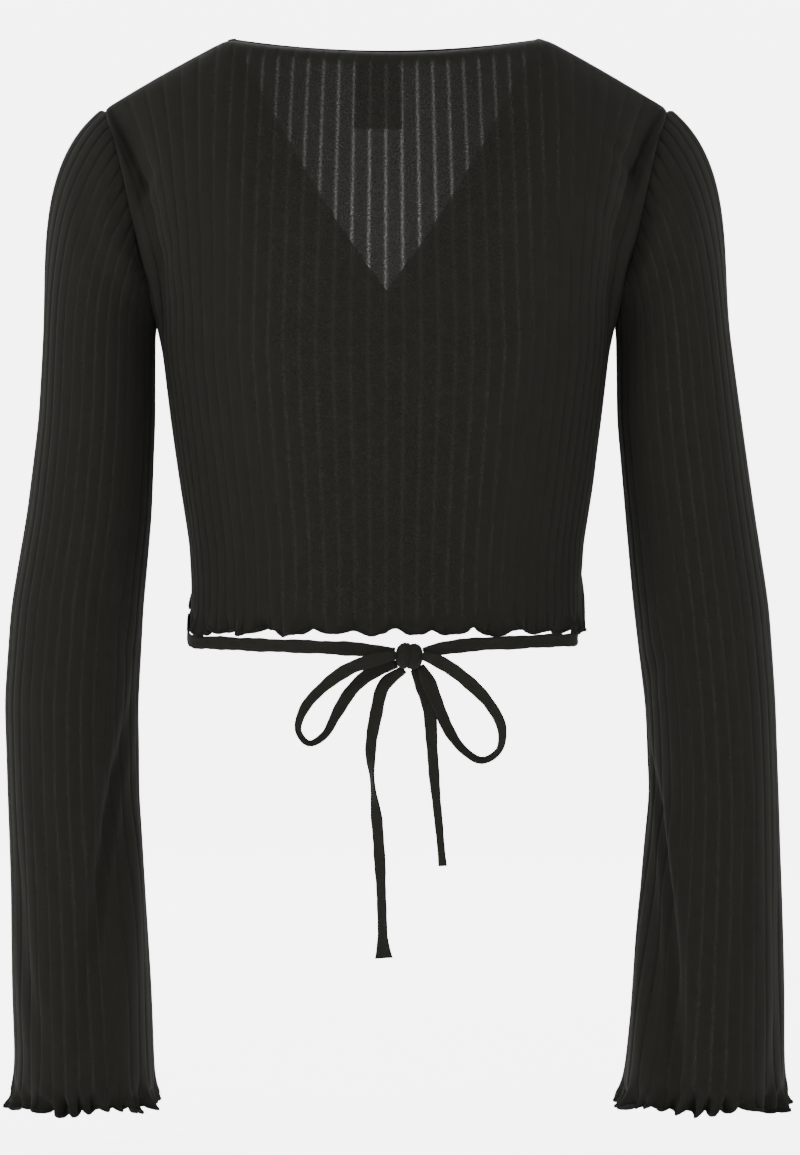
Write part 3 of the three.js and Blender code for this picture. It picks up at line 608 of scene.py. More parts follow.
class SleeveSurface:
    """Smoothed sleeve of one side with its normals, read at any angle and level. Level 0 to 1
    runs from the cuff through the sections, each an ellipse less the long folds' depth; level 1
    to 2 is the head, a cubic curve from the last section to the armhole edge."""

    columns = 256
    rows = 321
    top_z = -190.0
    cuff_z = -677.0

    def __init__(self, side):
        self.side = side
        self.table = SLEEVES[side]
        angle = self.angle_of(np.arange(self.columns) / self.columns)
        level = np.linspace(0, 2, self.rows)
        grid = self.form(*np.meshgrid(angle, level, indexing="ij"))
        grid[..., 0] *= side
        grid = smoothed(grid, 10, closed=True)
        normals = normals_of(grid, closed=True)
        self.grid = np.concatenate([grid, grid[:1]])
        self.normals = np.concatenate([normals, normals[:1]])

    def angle_of(self, turn):
        """Angle at a share of the way round, which starts at the underarm seam."""
        return (180 + self.side * 360 * turn) % 360

    def section(self, angle, z):
        up = -z
        near = np.interp(up, [-v for v in SLEEVE_Z], self.table["near"])
        far = np.interp(up, [-v for v in SLEEVE_Z], self.table["far"])
        middle = np.interp(up, [-v for v in SLEEVE_Z], SLEEVE_Y)
        depth = np.interp(up, [-v for v in SLEEVE_Z], SLEEVE_DEPTH)
        half = (far - near) / 2
        turn = np.radians(angle)
        ring = points_of(near + half * (1 + np.cos(turn)), middle + depth * np.sin(turn), z)
        out = unit(points_of(np.cos(turn) / half, np.sin(turn) / depth, 0 * z))
        return ring - out * self.fold_depth(angle, z)[..., None]

    def fold_depth(self, angle, z):
        """Long folds: a Gaussian trough round the sleeve with a ridge beside it, its angle
        moving with the height."""
        total = np.zeros(np.broadcast(angle, z).shape)
        for fold in self.table["folds"]:
            share = (z - fold["z"][0]) / (fold["z"][1] - fold["z"][0])
            inside = np.clip(share, 0, 1)
            away = (angle - mix(*fold["angle"], inside)) / fold["width"]
            trough = np.exp(-away ** 2) - 0.4 * np.exp(-(away - 1.9) ** 2)
            total += fold["depth"] * np.sin(np.pi * inside) ** 0.7 * trough
        return total

    def form(self, angle, level):
        z = mix(self.cuff_z, self.top_z, np.clip(level, 0, 1))
        lower = self.section(angle, z)
        face = np.where(angle <= 180, 1.0, -1.0)
        share = np.where(angle <= 180, angle, 360 - angle) / 180
        edge = np.where((face > 0)[..., None], armhole(share, BACK), armhole(share, FRONT))
        lean = SLEEVE_START["lean"] * (1 - share) ** 0.8 + SLEEVE_START["underarm_lean"]
        drop = -np.sqrt(1 - lean * lean)
        way = points_of(lean, face * SLEEVE_START["spread"] * np.sin(np.pi * share), drop)
        edge = edge + way * SLEEVE_START["shift"]
        end = self.section(angle, np.full(angle.shape, self.top_z))
        below = self.section(angle, np.full(angle.shape, -240.0))
        reach = np.linalg.norm(edge - end, axis=-1, keepdims=True)
        arrive = unit(below - end) * reach
        step = np.clip(2 - level, 0, 1)[..., None]
        square, cube = step ** 2, step ** 3
        head = edge * (2 * cube - 3 * square + 1) + way * reach * (cube - 2 * square + step)
        head = head + end * (3 * square - 2 * cube) + arrive * (cube - square)
        return np.where((level > 1)[..., None], head, lower)

    def place(self, turn, level):
        return np.broadcast_arrays(turn * self.columns, level * (self.rows - 1) / 2)

    def point(self, turn, level):
        return sample(self.grid, *self.place(turn, level))

    def normal(self, turn, level):
        return unit(sample(self.normals, *self.place(turn, level)))


def cuff_wave(angle):
    """Phase of the cuff's small waves at an angle: even turns with two slow wanders."""
    turn = np.radians(angle)
    return sizes().cuff_waves * turn + 1.6 * np.sin(3 * turn) + 0.9 * np.sin(7 * turn + 2)


def cuff_swing(angle):
    """Broad waves under the small ones, as in the part: 14 turns with a slow wander."""
    turn = np.radians(angle)
    return np.sin(14 * turn + 0.8 * np.sin(3 * turn))


def sleeve_cloth(name, side):
    """Cloth of a sleeve: the smooth sleeve moved out by the stand, ribs, creases and waves."""
    surface = SleeveSurface(side)
    ribs = sizes().sleeve_ribs
    turn = rib_shares(ribs, 0, ribs)[:, None]
    rows = np.concatenate([
        np.linspace(0, 1, 14, endpoint=False) ** 1.2 * 0.06,
        np.linspace(0.06, 1, 84, endpoint=False), np.linspace(1, 2, 34)])
    turn, level = np.broadcast_arrays(turn, rows[None, :])
    angle = surface.angle_of(turn)
    points = surface.point(turn, level)
    normals = surface.normal(turn, level)
    height = points[..., 2] - SleeveSurface.cuff_z
    out = sizes().stand / MM + sizes().rib_height / MM * rib_profile(turn * ribs)
    out = out - crease_depth(angle, points[..., 2], scaled(SLEEVE_CREASES[side]))
    seam = np.minimum(turn, 1 - turn) * 200
    tip = np.exp(-((np.abs(angle - 180) - 180) / 22) ** 2)
    out = out - 0.4 * np.exp(-(seam / 1.6) ** 2) - (1.1 - 1.3 * tip) * np.exp(-((2 - level) * 90 / 3.2) ** 2)
    out = out + 0.5 * np.sin(height * 0.024 + np.radians(angle) * 2) * ease(height, 10, 80) \
        * (1 - ease(level, 1.5, 2))
    points = points + normals * out[..., None]
    frill = np.exp(-(height / 7.0) ** 2)
    phase = cuff_wave(angle) + 0.25 * height
    uneven = 0.85 + 0.3 * np.sin(np.radians(angle) * 5 + side)
    ripple = uneven * frill * np.sin(phase) + 0.45 * np.exp(-(height / 13) ** 2) * cuff_swing(angle)
    points = points + normals * (sizes().cuff_wave / MM * ripple - 1.6 * frill)[..., None]
    lobes = np.abs(np.sin(phase / 2 + 0.4)) ** 0.7
    points[..., 2] += frill * (3.2 - 6.4 * uneven * lobes)
    flat = np.abs(np.sin(np.radians(angle))) ** 3
    # Openness also sets the needle lines' painted tone: low openness paints them dark as shaded grooves
    openness = (0.03 + 0.30 * flat) * ease(height, 3, 18) * (1 - ease(level, 1.75, 1.95))
    openness = openness * ease(seam, 3, 12)
    step = np.linalg.norm(np.diff(points, axis=1, prepend=points[:, :1]), axis=-1)
    uvs = np.stack([turn * ribs, np.cumsum(step, axis=1) / 10], axis=-1)
    top = points[:, -1]
    onward = unit(top - points[:, -2])
    under = top + onward * 1.2 - normals[:, -1] * 1.0
    points = np.concatenate([points, under[:, None]], axis=1)
    uvs = np.concatenate([uvs, uvs[:, -1:] + [[[0, 0.15]]]], axis=1)
    openness = np.concatenate([openness, openness[:, -1:] * 0], axis=1)
    return cloth_sheet(name, points, uvs, openness, closed=True), points


def scaled(creases):
    """Creases as given, returned unchanged: a degree round the sleeve counts the same as a millimetre of
    height.
    """
    return creases


def catmull_path(points, steps):
    """Smooth path through the points: a centripetal Catmull-Rom curve, whose knots are apart by
    the square root of the distance, with straight ends added."""
    points = np.array(points, dtype=float)
    first = points[:1] * 2 - points[1:2]
    last = points[-1:] * 2 - points[-2:-1]
    points = np.concatenate([first, points, last])
    pieces = []
    for i in range(1, len(points) - 2):
        around = points[i - 1:i + 3]
        gaps = np.linalg.norm(np.diff(around[:, :3], axis=0), axis=-1) ** 0.5
        t = np.concatenate([[0], np.cumsum(gaps)])
        s = np.linspace(t[1], t[2], steps, endpoint=False)[:, None]
        low = [
            (t[k + 1] - s) / gaps[k] * around[k] + (s - t[k]) / gaps[k] * around[k + 1]
            for k in range(3)]
        mid = [
            (t[k + 2] - s) / (t[k + 2] - t[k]) * low[k]
            + (s - t[k]) / (t[k + 2] - t[k]) * low[k + 1]
            for k in range(2)]
        pieces.append((t[2] - s) / gaps[1] * mid[0] + (s - t[1]) / gaps[1] * mid[1])
    pieces.append(points[-2:-1])
    return np.concatenate(pieces)


def even_path(points, spacing):
    """The same path at even distances along it."""
    step = np.linalg.norm(np.diff(points[:, :3], axis=0), axis=-1)
    length = np.concatenate([[0], np.cumsum(step)])
    count = max(int(round(length[-1] / spacing)), 2)
    even = np.linspace(0, length[-1], count + 1)
    return np.stack([np.interp(even, length, points[:, k]) for k in range(points.shape[1])], axis=-1)


def profile_along(name, path, sideways, upwards, profile, closed=False, ends=True):
    """Closed profile carried along a path: each point of the profile is a distance sideways
    and a distance upwards from the path. The ends narrow to a point and close."""
    count, ring = len(path), profile.shape[-2]
    profile = np.broadcast_to(profile, (count, ring, 2))
    points = path[:, None] + sideways[:, None] * profile[..., :1] + upwards[:, None] * profile[..., 1:]
    along = np.concatenate([[0], np.cumsum(np.linalg.norm(np.diff(path, axis=0), axis=-1))])
    if not closed and ends:
        points = np.concatenate([points[:1], points, points[-1:]])
        points[0] = points[1].mean(axis=0)
        points[-1] = points[-2].mean(axis=0)
        along = np.concatenate([along[:1], along, along[-1:]])
        count += 2
    vertices = points.reshape(-1, 3)
    i = np.arange(count if closed else count - 1)[:, None]
    k = np.arange(ring)[None, :]
    onward = (i + 1) % count
    around = (k + 1) % ring
    quads = np.stack(np.broadcast_arrays(
        i * ring + k, i * ring + around, onward * ring + around, onward * ring + k), axis=-1)
    lap = np.broadcast_to(np.arange(ring) / ring, (count, ring))
    uvs = np.stack([lap, np.broadcast_to(along[:, None] / 10, (count, ring))], axis=-1)
    obj = write_mesh(name, vertices, quads.reshape(-1, 4), uvs.reshape(-1, 2))
    weld = obj.modifiers.new("close", "WELD")
    weld.merge_threshold = 0.01 * MM
    return obj


def rounded_profile(width, thickness, points, power=3.2, pinch=0.0):
    """Closed profile: a superellipse, its middle pinched where the strip is folded flat."""
    turn = np.linspace(0, 2 * np.pi, points, endpoint=False)
    c, s = np.cos(turn), np.sin(turn)
    across = np.sign(c) * np.abs(c) ** (2 / power) * width / 2
    high = np.sign(s) * np.abs(s) ** (2 / power) * thickness / 2
    high = high * (1 - pinch * np.exp(-(across / (width * 0.22)) ** 2))
    return np.stack([across, high], axis=-1)


def tie_strip(name, route, reference):
    """Tie: a flat tube carried along its route. Its width lies along the reference, turned by
    the route's angle about the path, and narrows where the route says so."""
    path = even_path(catmull_path(route, 14), 2.2)
    line = path[:, :3]
    forward = unit(np.gradient(line, axis=0))
    side = np.broadcast_to(np.array(reference), line.shape)
    side = unit(side - forward * (side * forward).sum(axis=-1, keepdims=True))
    other = np.cross(forward, side)
    turn = np.radians(path[:, 3:4])
    wide = side * np.cos(turn) + other * np.sin(turn)
    high = np.cross(forward, wide)
    width = sizes().tie_width / MM
    thick = sizes().tie_thickness / MM
    along = np.cumsum(np.linalg.norm(np.diff(line, axis=0, prepend=line[:1]), axis=-1))
    uneven = 1 + 0.05 * np.sin(along * 0.21) + 0.03 * np.sin(along * 0.57 + 1)
    base = rounded_profile(width, thick, 20, pinch=0.35)
    profile = np.repeat(base[None], len(path), axis=0)
    profile[..., 0] *= (path[:, 4:5] * uneven[:, None])
    profile[..., 1] *= (1 + 0.5 * (1 - path[:, 4:5]))
    obj = profile_along(name, line, wide, high, profile)
    length = float(along[-1]) * MM
    return obj, line * MM, length


def edge_cord(name, points, closed):
    """Overlocked edge: a round cord along the cloth's last row, drawn in thin air's way by the
    small beat of its stitches."""
    line = even_path(points, 1.5)
    if closed:
        line = even_path(np.concatenate([points, points[:1]]), 1.5)[:-1]
        forward = unit(np.roll(line, -1, 0) - np.roll(line, 1, 0))
    else:
        forward = unit(np.gradient(line, axis=0))
    upright = np.broadcast_to(np.array(UPWARDS), line.shape)
    side = unit(np.cross(forward, upright))
    high = np.cross(side, forward)
    radius = sizes().edge_radius / MM
    turn = np.linspace(0, 2 * np.pi, 8, endpoint=False)
    profile = radius * np.stack([0.8 * np.cos(turn), 1.25 * np.sin(turn)], axis=-1)
    beat = 1 + 0.08 * np.sin(np.arange(len(line)) * 2.4)
    return profile_along(
        name, line, side, high, profile[None] * beat[:, None, None], closed=closed)


def neck_strip(name, face, shares, level, lift):
    """Binding: a flat folded strip along the top edge of a panel, standing beyond the edge. Its
    profile is a superellipse with a stitched dip near the seam."""
    surface = SURFACE[face]
    points = surface.point(shares, level)
    normals = surface.normal(shares, level)
    normals = unit(normals + np.roll(normals, 1, 0) * 0)
    points = points + normals * lift(shares, points)[:, None]
    count = int(np.linalg.norm(np.diff(points, axis=0), axis=-1).sum() / 2.5)
    both = even_path(np.concatenate([points, normals], axis=-1), 2.5)
    line, normal = both[:, :3], unit(both[:, 3:])
    forward = unit(np.gradient(line, axis=0))
    normal = unit(normal - forward * (normal * forward).sum(axis=-1, keepdims=True))
    beyond = np.cross(normal, forward)
    if count < 2:
        raise ValueError("the neck edge is too short for a binding")
    width = sizes().binding_width / MM
    profile = rounded_profile(width, 2.0, 22, power=3.0)
    off = profile[:, 0] + width / 2
    dip = 0.35 * np.exp(-((off - 0.9) / 0.5) ** 2) * np.sign(profile[:, 1])
    profile = np.stack([off + 0.1, profile[:, 1] + 0.75 - dip - 0.12 * off], axis=-1)
    ripple = 1 + 0.05 * np.sin(np.arange(len(line)) * 0.9) + 0.03 * np.sin(np.arange(len(line)) * 0.37)
    profile = profile[None] * np.stack([ripple, np.ones(len(line))], axis=-1)[:, None]
    return profile_along(name, line, beyond, normal, profile)


def knot_form():
    """Knot: a superellipsoid with two slanting wraps round it. The radius grows over each wrap
    as a raised half sine and dips between them, with small gathers along the wraps."""
    around = np.linspace(0, 2 * np.pi, 72, endpoint=False)[:, None]
    along = np.linspace(-np.pi / 2, np.pi / 2, 49)[None, :]
    slant = 0.35 * np.sin(around + 0.6)
    wraps = np.abs(np.sin(along * 2.1 + slant)) ** 0.6
    gathers = 0.03 * np.sin(along * 23 + 2 * np.sin(around * 2)) * np.cos(along)
    size = 0.84 + 0.2 * wraps * np.cos(along) ** 0.3 + gathers
    reach = np.abs(np.cos(along)) ** 0.62 * size
    x = KNOT["radii"][0] * np.sin(along) * np.ones_like(around) * 1.02
    y = KNOT["radii"][1] * reach * np.cos(around)
    z = KNOT["radii"][2] * reach * np.sin(around)
    return points_of(x, y, z) + np.array(KNOT["centre"])


def knot_mesh():
    points = knot_form()
    columns, rows = points.shape[:2]
    faces = grid_faces(columns, rows, True)
    i, j = np.meshgrid(np.arange(columns), np.arange(rows), indexing="ij")
    uvs = np.stack([i / columns * 3, j / rows], axis=-1)
    obj = write_mesh("knot_cloth", points.reshape(-1, 3), faces, uvs.reshape(-1, 2))
    weld = obj.modifiers.new("close", "WELD")
    weld.merge_threshold = 0.05 * MM
    return obj


def label_mesh():
    """Label: a small plain tape behind the back neck, lying against the cloth's inside."""
    share = np.linspace(9, -4.6, 26)[:, None] / 90
    points_share = np.broadcast_to(share * 1.0, (26, 22))
    level = np.broadcast_to(np.linspace(1.52, 1.93, 22)[None, :], (26, 22))
    surface = SURFACE[BACK]
    points = surface.point(points_share, level) - surface.normal(points_share, level) * 0.9
    uvs = np.stack([(points[..., 0]) / 10, points[..., 2] / 10], axis=-1)
    obj = cloth_sheet("label_cloth", points, uvs, np.zeros(points.shape[:-1]))
    obj.modifiers["thickness"].thickness = 0.7 * MM
    return obj


# Node helpers: each puts one node into a tree and returns its output socket

def value_of(tree, kind, settings, *sources):
    node = tree.nodes.new(kind)
    for key, value in settings.items():
        setattr(node, key, value)
    for socket, source in zip(node.inputs, sources):
        if source is None:
            continue
        if isinstance(source, (int, float, tuple)):
            socket.default_value = source
        else:
            tree.links.new(source, socket)
    return node.outputs[0]


def maths(tree, operation, *sources):
    return value_of(tree, "ShaderNodeMath", {"operation": operation}, *sources)


def blend_colours(tree, share, first, second):
    node = tree.nodes.new("ShaderNodeMix")
    node.data_type = "RGBA"
    for name, source in (("Factor_Float", share), ("A_Color", first), ("B_Color", second)):
        socket = next(s for s in node.inputs if s.identifier == name)
        if isinstance(source, (int, float)):
            socket.default_value = source
        elif isinstance(source, tuple):
            socket.default_value = (*source, 1.0)
        else:
            tree.links.new(source, socket)
    return next(s for s in node.outputs if s.identifier == "Result_Color")


def new_group(name, inputs, outputs):
    group = bpy.data.node_groups.new(name, "ShaderNodeTree")
    for key, kind, value in inputs:
        socket = group.interface.new_socket(key, in_out="INPUT", socket_type=kind)
        if value is not None:
            socket.default_value = value
    for key, kind in outputs:
        group.interface.new_socket(key, in_out="OUTPUT", socket_type=kind)
    enter = group.nodes.new("NodeGroupInput")
    leave = group.nodes.new("NodeGroupOutput")
    return group, enter.outputs, leave.inputs


def knit_group():
    """Fine knit: V stitches from two slanting waves in the cloth's own coordinates, and a soft
    mottle. Puts out the stitch height and a shade that varies about one: the mottle's random
    tone, times a painted stitch shade that is darker in the stitches' dips and lighter on their
    tops."""
    group, given, made = new_group(
        "fine knit",
        [("Across", "NodeSocketFloat", 0.0), ("Along", "NodeSocketFloat", 0.0),
         ("Stitches Across", "NodeSocketFloat", 7.0), ("Stitches Along", "NodeSocketFloat", 11.0),
         ("Mottle", "NodeSocketFloat", 0.25)],
        [("Height", "NodeSocketFloat"), ("Shade", "NodeSocketFloat")])
    across = maths(group, "MULTIPLY", given["Across"], given["Stitches Across"])
    along = maths(group, "MULTIPLY", given["Along"], given["Stitches Along"])
    middle = maths(group, "ABSOLUTE", maths(group, "SUBTRACT", maths(group, "FRACT", across), 0.5))
    slant = maths(group, "ADD", along, maths(group, "MULTIPLY", middle, 1.1))
    loops = maths(group, "ABSOLUTE", maths(group, "SINE", maths(group, "MULTIPLY", slant, math.pi)))
    wales = maths(group, "SINE", maths(group, "MULTIPLY", middle, 2 * math.pi))
    height = maths(group, "MULTIPLY", loops, wales)
    group.links.new(height, made["Height"])
    place = value_of(group, "ShaderNodeCombineXYZ", {}, given["Across"], given["Along"], 0.0)
    noise = group.nodes.new("ShaderNodeTexNoise")
    noise.inputs["Scale"].default_value = 1.3
    noise.inputs["Detail"].default_value = 3.0
    group.links.new(place, noise.inputs["Vector"])
    soft = maths(group, "SUBTRACT", noise.outputs["Fac"], 0.5)
    shade = maths(group, "ADD", 1.0, maths(group, "MULTIPLY", soft, given["Mottle"]))
    # Painted stitch shade: the colour is darker where the stitch height is low and lighter where it is high
    stitched = maths(group, "MULTIPLY", shade, maths(group, "ADD", 0.88, maths(
        group, "MULTIPLY", height, 0.2)))
    group.links.new(stitched, made["Shade"])
    return group


def needle_line_group():
    """Open needle line: a band at each whole number across, with thin yarns crossing it like a
    ladder. Puts out the band's mask and the see-through share left between the yarns."""
    group, given, made = new_group(
        "needle line",
        [("Across", "NodeSocketFloat", 0.0), ("Along", "NodeSocketFloat", 0.0),
         ("Half Width", "NodeSocketFloat", 0.09), ("Yarns Along", "NodeSocketFloat", 10.0),
         ("Openness", "NodeSocketFloat", 0.5)],
        [("Line", "NodeSocketFloat"), ("Opening", "NodeSocketFloat")])
    near = maths(group, "ABSOLUTE", maths(group, "SUBTRACT", given["Across"], maths(
        group, "ROUND", given["Across"])))
    share = maths(group, "DIVIDE", near, given["Half Width"])
    line = maths(group, "EXPONENT", maths(group, "MULTIPLY", -1.0, maths(
        group, "MULTIPLY", share, share)))
    group.links.new(line, made["Line"])
    beat = maths(group, "SINE", maths(group, "MULTIPLY", maths(
        group, "MULTIPLY", given["Along"], given["Yarns Along"]), 2 * math.pi))
    gaps = maths(group, "ADD", 0.62, maths(group, "MULTIPLY", beat, 0.38))
    opening = maths(group, "MULTIPLY", maths(group, "MULTIPLY", line, gaps), given["Openness"])
    group.links.new(opening, made["Opening"])
    return group


def cloth_coordinates(tree):
    uv = tree.nodes.new("ShaderNodeUVMap")
    uv.uv_map = "cloth"
    split = tree.nodes.new("ShaderNodeSeparateXYZ")
    tree.links.new(uv.outputs["UV"], split.inputs[0])
    return split.outputs[0], split.outputs[1]


def use_group(tree, group, **sources):
    node = tree.nodes.new("ShaderNodeGroup")
    node.node_tree = group
    for key, source in sources.items():
        socket = node.inputs[key.replace("_", " ")]
        if isinstance(source, (int, float)):
            socket.default_value = source
        else:
            tree.links.new(source, socket)
    return node.outputs


def start_material(name, roughness, sheen, specular):
    material = bpy.data.materials.new(name)
    material.use_nodes = True
    tree = material.node_tree
    shader = next(node for node in tree.nodes if node.type == "BSDF_PRINCIPLED")
    shader.inputs["Roughness"].default_value = roughness
    shader.inputs["Sheen Weight"].default_value = sheen
    shader.inputs["Sheen Roughness"].default_value = 0.55
    shader.inputs["Sheen Tint"].default_value = (0.55, 0.54, 0.50, 1.0)
    shader.inputs["Specular IOR Level"].default_value = specular
    return material, tree, shader


def add_bump(tree, shader, height, strength, distance):
    bump = tree.nodes.new("ShaderNodeBump")
    bump.inputs["Strength"].default_value = strength
    bump.inputs["Distance"].default_value = distance
    tree.links.new(height, bump.inputs["Height"])
    tree.links.new(bump.outputs["Normal"], shader.inputs["Normal"])


def shaded_colour(tree, colour, shade):
    node = tree.nodes.new("ShaderNodeVectorMath")
    node.operation = "SCALE"
    if isinstance(colour, tuple):
        node.inputs[0].default_value = colour
    else:
        tree.links.new(colour, node.inputs[0])
    tree.links.new(shade, node.inputs["Scale"])
    return node.outputs[0]


def rib_material(name, knit, line, roughness=0.9):
    """Rib jersey: knit stitches on the ribs, and needle lines that let light through where the
    cloth's own openness says so. The needle lines' colour is painted: the lighter line colour
    where the cloth is open, as painted light through the ladder, and near half the cloth's
    colour where it is closed, as painted shade in the grooves. A full stretch thins the cloth
    itself a little."""
    material, tree, shader = start_material(name, roughness, 0.03, 0.07)
    across, along = cloth_coordinates(tree)
    opened = tree.nodes.new("ShaderNodeAttribute")
    opened.attribute_name = "openness"
    stitch = use_group(
        tree, knit, Across=across, Along=along, Stitches_Across=6.0, Stitches_Along=10.0,
        Mottle=0.35)
    needle = use_group(
        tree, line, Across=across, Along=along, Half_Width=0.1, Yarns_Along=9.0,
        Openness=opened.outputs["Fac"])
    # Painted groove shade: closed needle lines get near half the cloth's colour, and open ones the lighter
    # line colour as painted light
    painted_groove_shade = tuple(0.45 * part for part in colours().cloth)
    lit_line_share = maths(tree, "MULTIPLY", opened.outputs["Fac"], 3.0)
    lit_line_share.node.use_clamp = True
    # The needle lines' painted colour: painted shade in closed grooves, painted light where the ladder is
    # open
    yarn = blend_colours(tree, lit_line_share, painted_groove_shade, tuple(colours().line))
    colour = blend_colours(tree, needle["Line"], tuple(colours().cloth), yarn)
    tree.links.new(shaded_colour(tree, colour, stitch["Shade"]), shader.inputs["Base Color"])
    grain = tree.nodes.new("ShaderNodeTexNoise")
    grain.inputs["Scale"].default_value = 9.0
    grain.inputs["Detail"].default_value = 1.0
    place = value_of(tree, "ShaderNodeCombineXYZ", {}, across, along, 0.0)
    tree.links.new(place, grain.inputs["Vector"])
    speckle = value_of(
        tree, "ShaderNodeMapRange", {"clamp": True}, grain.outputs["Fac"], 0.3, 0.7, 0.25, 1.0)
    thin = maths(tree, "MULTIPLY", opened.outputs["Fac"], 0.087)
    both = maths(tree, "ADD", maths(tree, "MULTIPLY", needle["Opening"], 0.24), thin)
    open_share = maths(tree, "MULTIPLY", both, speckle)
    tree.links.new(maths(tree, "SUBTRACT", 1.0, open_share), shader.inputs["Alpha"])
    height = maths(tree, "SUBTRACT", stitch["Height"], needle["Line"])
    add_bump(tree, shader, height, 0.35, 0.0004)
    return material


def strip_material(name, knit, colour, across_count, along_count, roughness, bump):
    """Plain knit strip or woven tape: fine stitches along the piece."""
    material, tree, shader = start_material(name, roughness, 0.03, 0.07)
    across, along = cloth_coordinates(tree)
    stitch = use_group(
        tree, knit, Across=across, Along=along, Stitches_Across=across_count,
        Stitches_Along=along_count, Mottle=0.4)
    tree.links.new(shaded_colour(tree, colour, stitch["Shade"]), shader.inputs["Base Color"])
    add_bump(tree, shader, stitch["Height"], bump, 0.0004)
    return material


def materials():
    """The top's materials, made once and kept by name."""
    if "black rib jersey" not in bpy.data.materials:
        knit, line = knit_group(), needle_line_group()
        rib_material("black rib jersey", knit, line)
        strip_material("black binding knit", knit, tuple(colours().edge), 16, 10, 0.85, 0.3)
        strip_material("black tie knit", knit, tuple(colours().cloth), 20, 10, 0.82, 0.3)
        strip_material("black overlock yarn", knit, tuple(colours().edge), 3, 16, 0.8, 0.6)
        tape = strip_material(
            "black label tape", knit, tuple(colours().label), 14, 14, 0.7, 0.25)
        shader = next(node for node in tape.node_tree.nodes if node.type == "BSDF_PRINCIPLED")
        shader.inputs["Alpha"].default_value = 0.62
    return bpy.data.materials


def wear(obj, material):
    obj.data.materials.append(materials()[material])
    return obj


def no_step(share, points):
    return np.zeros(np.shape(share))


class CROPTOP_OT_stage(bpy.types.Operator):
    """Set up the pale floor and backdrop, the soft lights and the camera behind the top"""
    bl_idname = "croptop.stage"
    bl_label = "Stage, lights and camera"

    def execute(self, context):
        scene = context.scene
        around = np.linspace(0, 2 * np.pi, 96, endpoint=False)[:, None]
        step = np.linspace(0, 1, 41)[None, :]
        bend = np.clip((step - 0.4) / 0.35, 0, 1) * np.pi / 2
        reach = 0.5 + 7500 * np.clip(step / 0.4, 0, 1) + 2500 * np.sin(bend)
        height = -712 + 2500 * (1 - np.cos(bend)) + 5000 * np.clip((step - 0.75) / 0.25, 0, 1)
        points = points_of(reach * np.cos(around), reach * np.sin(around), height)
        faces = grid_faces(96, 41, True)[:, ::-1]
        floor = write_mesh("stage_floor", points.reshape(-1, 3), faces)
        material = bpy.data.materials.new("pale stage")
        material.use_nodes = True
        shader = next(n for n in material.node_tree.nodes if n.type == "BSDF_PRINCIPLED")
        shader.inputs["Base Color"].default_value = (*colours().floor, 1.0)
        shader.inputs["Roughness"].default_value = 0.9
        shader.inputs["Specular IOR Level"].default_value = 0.1
        # The camera sees the stage near white, and the top is lit by a dimmer glow from it
        tree = material.node_tree
        path = tree.nodes.new("ShaderNodeLightPath")
        glow = blend_colours(tree, path.outputs["Is Camera Ray"], (0.21, 0.21, 0.21), (1.0, 1.0, 1.0))
        tree.links.new(glow, shader.inputs["Emission Color"])
        shader.inputs["Emission Strength"].default_value = 5.0
        floor.data.materials.append(material)
        for name, place, aim, width, power in (
                ("key_light", (2.3, 1.9, 1.2), (0, 0, -0.3), 1.1, 80),
                ("fill_light", (-2.4, 1.8, 0.5), (0, 0, -0.35), 1.2, 28),
                ("front_light", (0.6, -3.0, 1.6), (0, 0, -0.35), 1.6, 60)):
            data = bpy.data.lights.new(name, "AREA")
            data.shape = "DISK"
            data.size = width
            data.energy = power
            light = bpy.data.objects.new(name, data)
            light.location = place
            light.rotation_euler = (
                Vector(aim) - Vector(place)).to_track_quat("-Z", "Y").to_euler()
            scene.collection.objects.link(light)
        world = bpy.data.worlds.new("soft studio")
        world.use_nodes = True
        background = world.node_tree.nodes["Background"]
        background.inputs["Color"].default_value = (1.0, 1.0, 1.0, 1.0)
        background.inputs["Strength"].default_value = 0.2
        scene.world = world
        data = bpy.data.cameras.new("camera")
        data.lens = 150
        data.sensor_width = 36
        camera = bpy.data.objects.new("camera", data)
        camera.location = (-0.0088, 3.06, -0.3405)
        camera.rotation_euler = (math.pi / 2, 0, math.pi)
        scene.collection.objects.link(camera)
        scene.camera = camera
        return {"FINISHED"}


class CROPTOP_OT_bow(bpy.types.Operator):
    """Make the waist ties, the knot, the two loops and the two free ends of the bow"""
    bl_idname = "croptop.bow"
    bl_label = "Bow and ties"

    def execute(self, context):
        knot = wear(knot_mesh(), "black tie knit")
        finish(knot, "tie_knit", "bow_knot")
        ties = (
            ("tie_waist_left", WAIST_LEFT, UPWARDS, "knot", "taut", (knot,)),
            ("tie_waist_right", WAIST_RIGHT, UPWARDS, "knot", "taut", ()),
            ("bow_loop_left", LOOP_LEFT, BACKWARDS, "object", "loose", ()),
            ("bow_loop_right", LOOP_RIGHT, BACKWARDS, "object", "loose", ()),
            ("tie_end_left", END_LEFT, SIDEWAYS, "bare", "hanging", ()),
            ("tie_end_right", END_RIGHT, SIDEWAYS, "bare", "hanging", ()),
        )
        for node, route, reference, far_end, lay, others in ties:
            strip, line, length = tie_strip(node + "_cloth", route, reference)
            wear(strip, "black tie knit")
            finish(strip, "tie_knit", node)
        return {"FINISHED"}


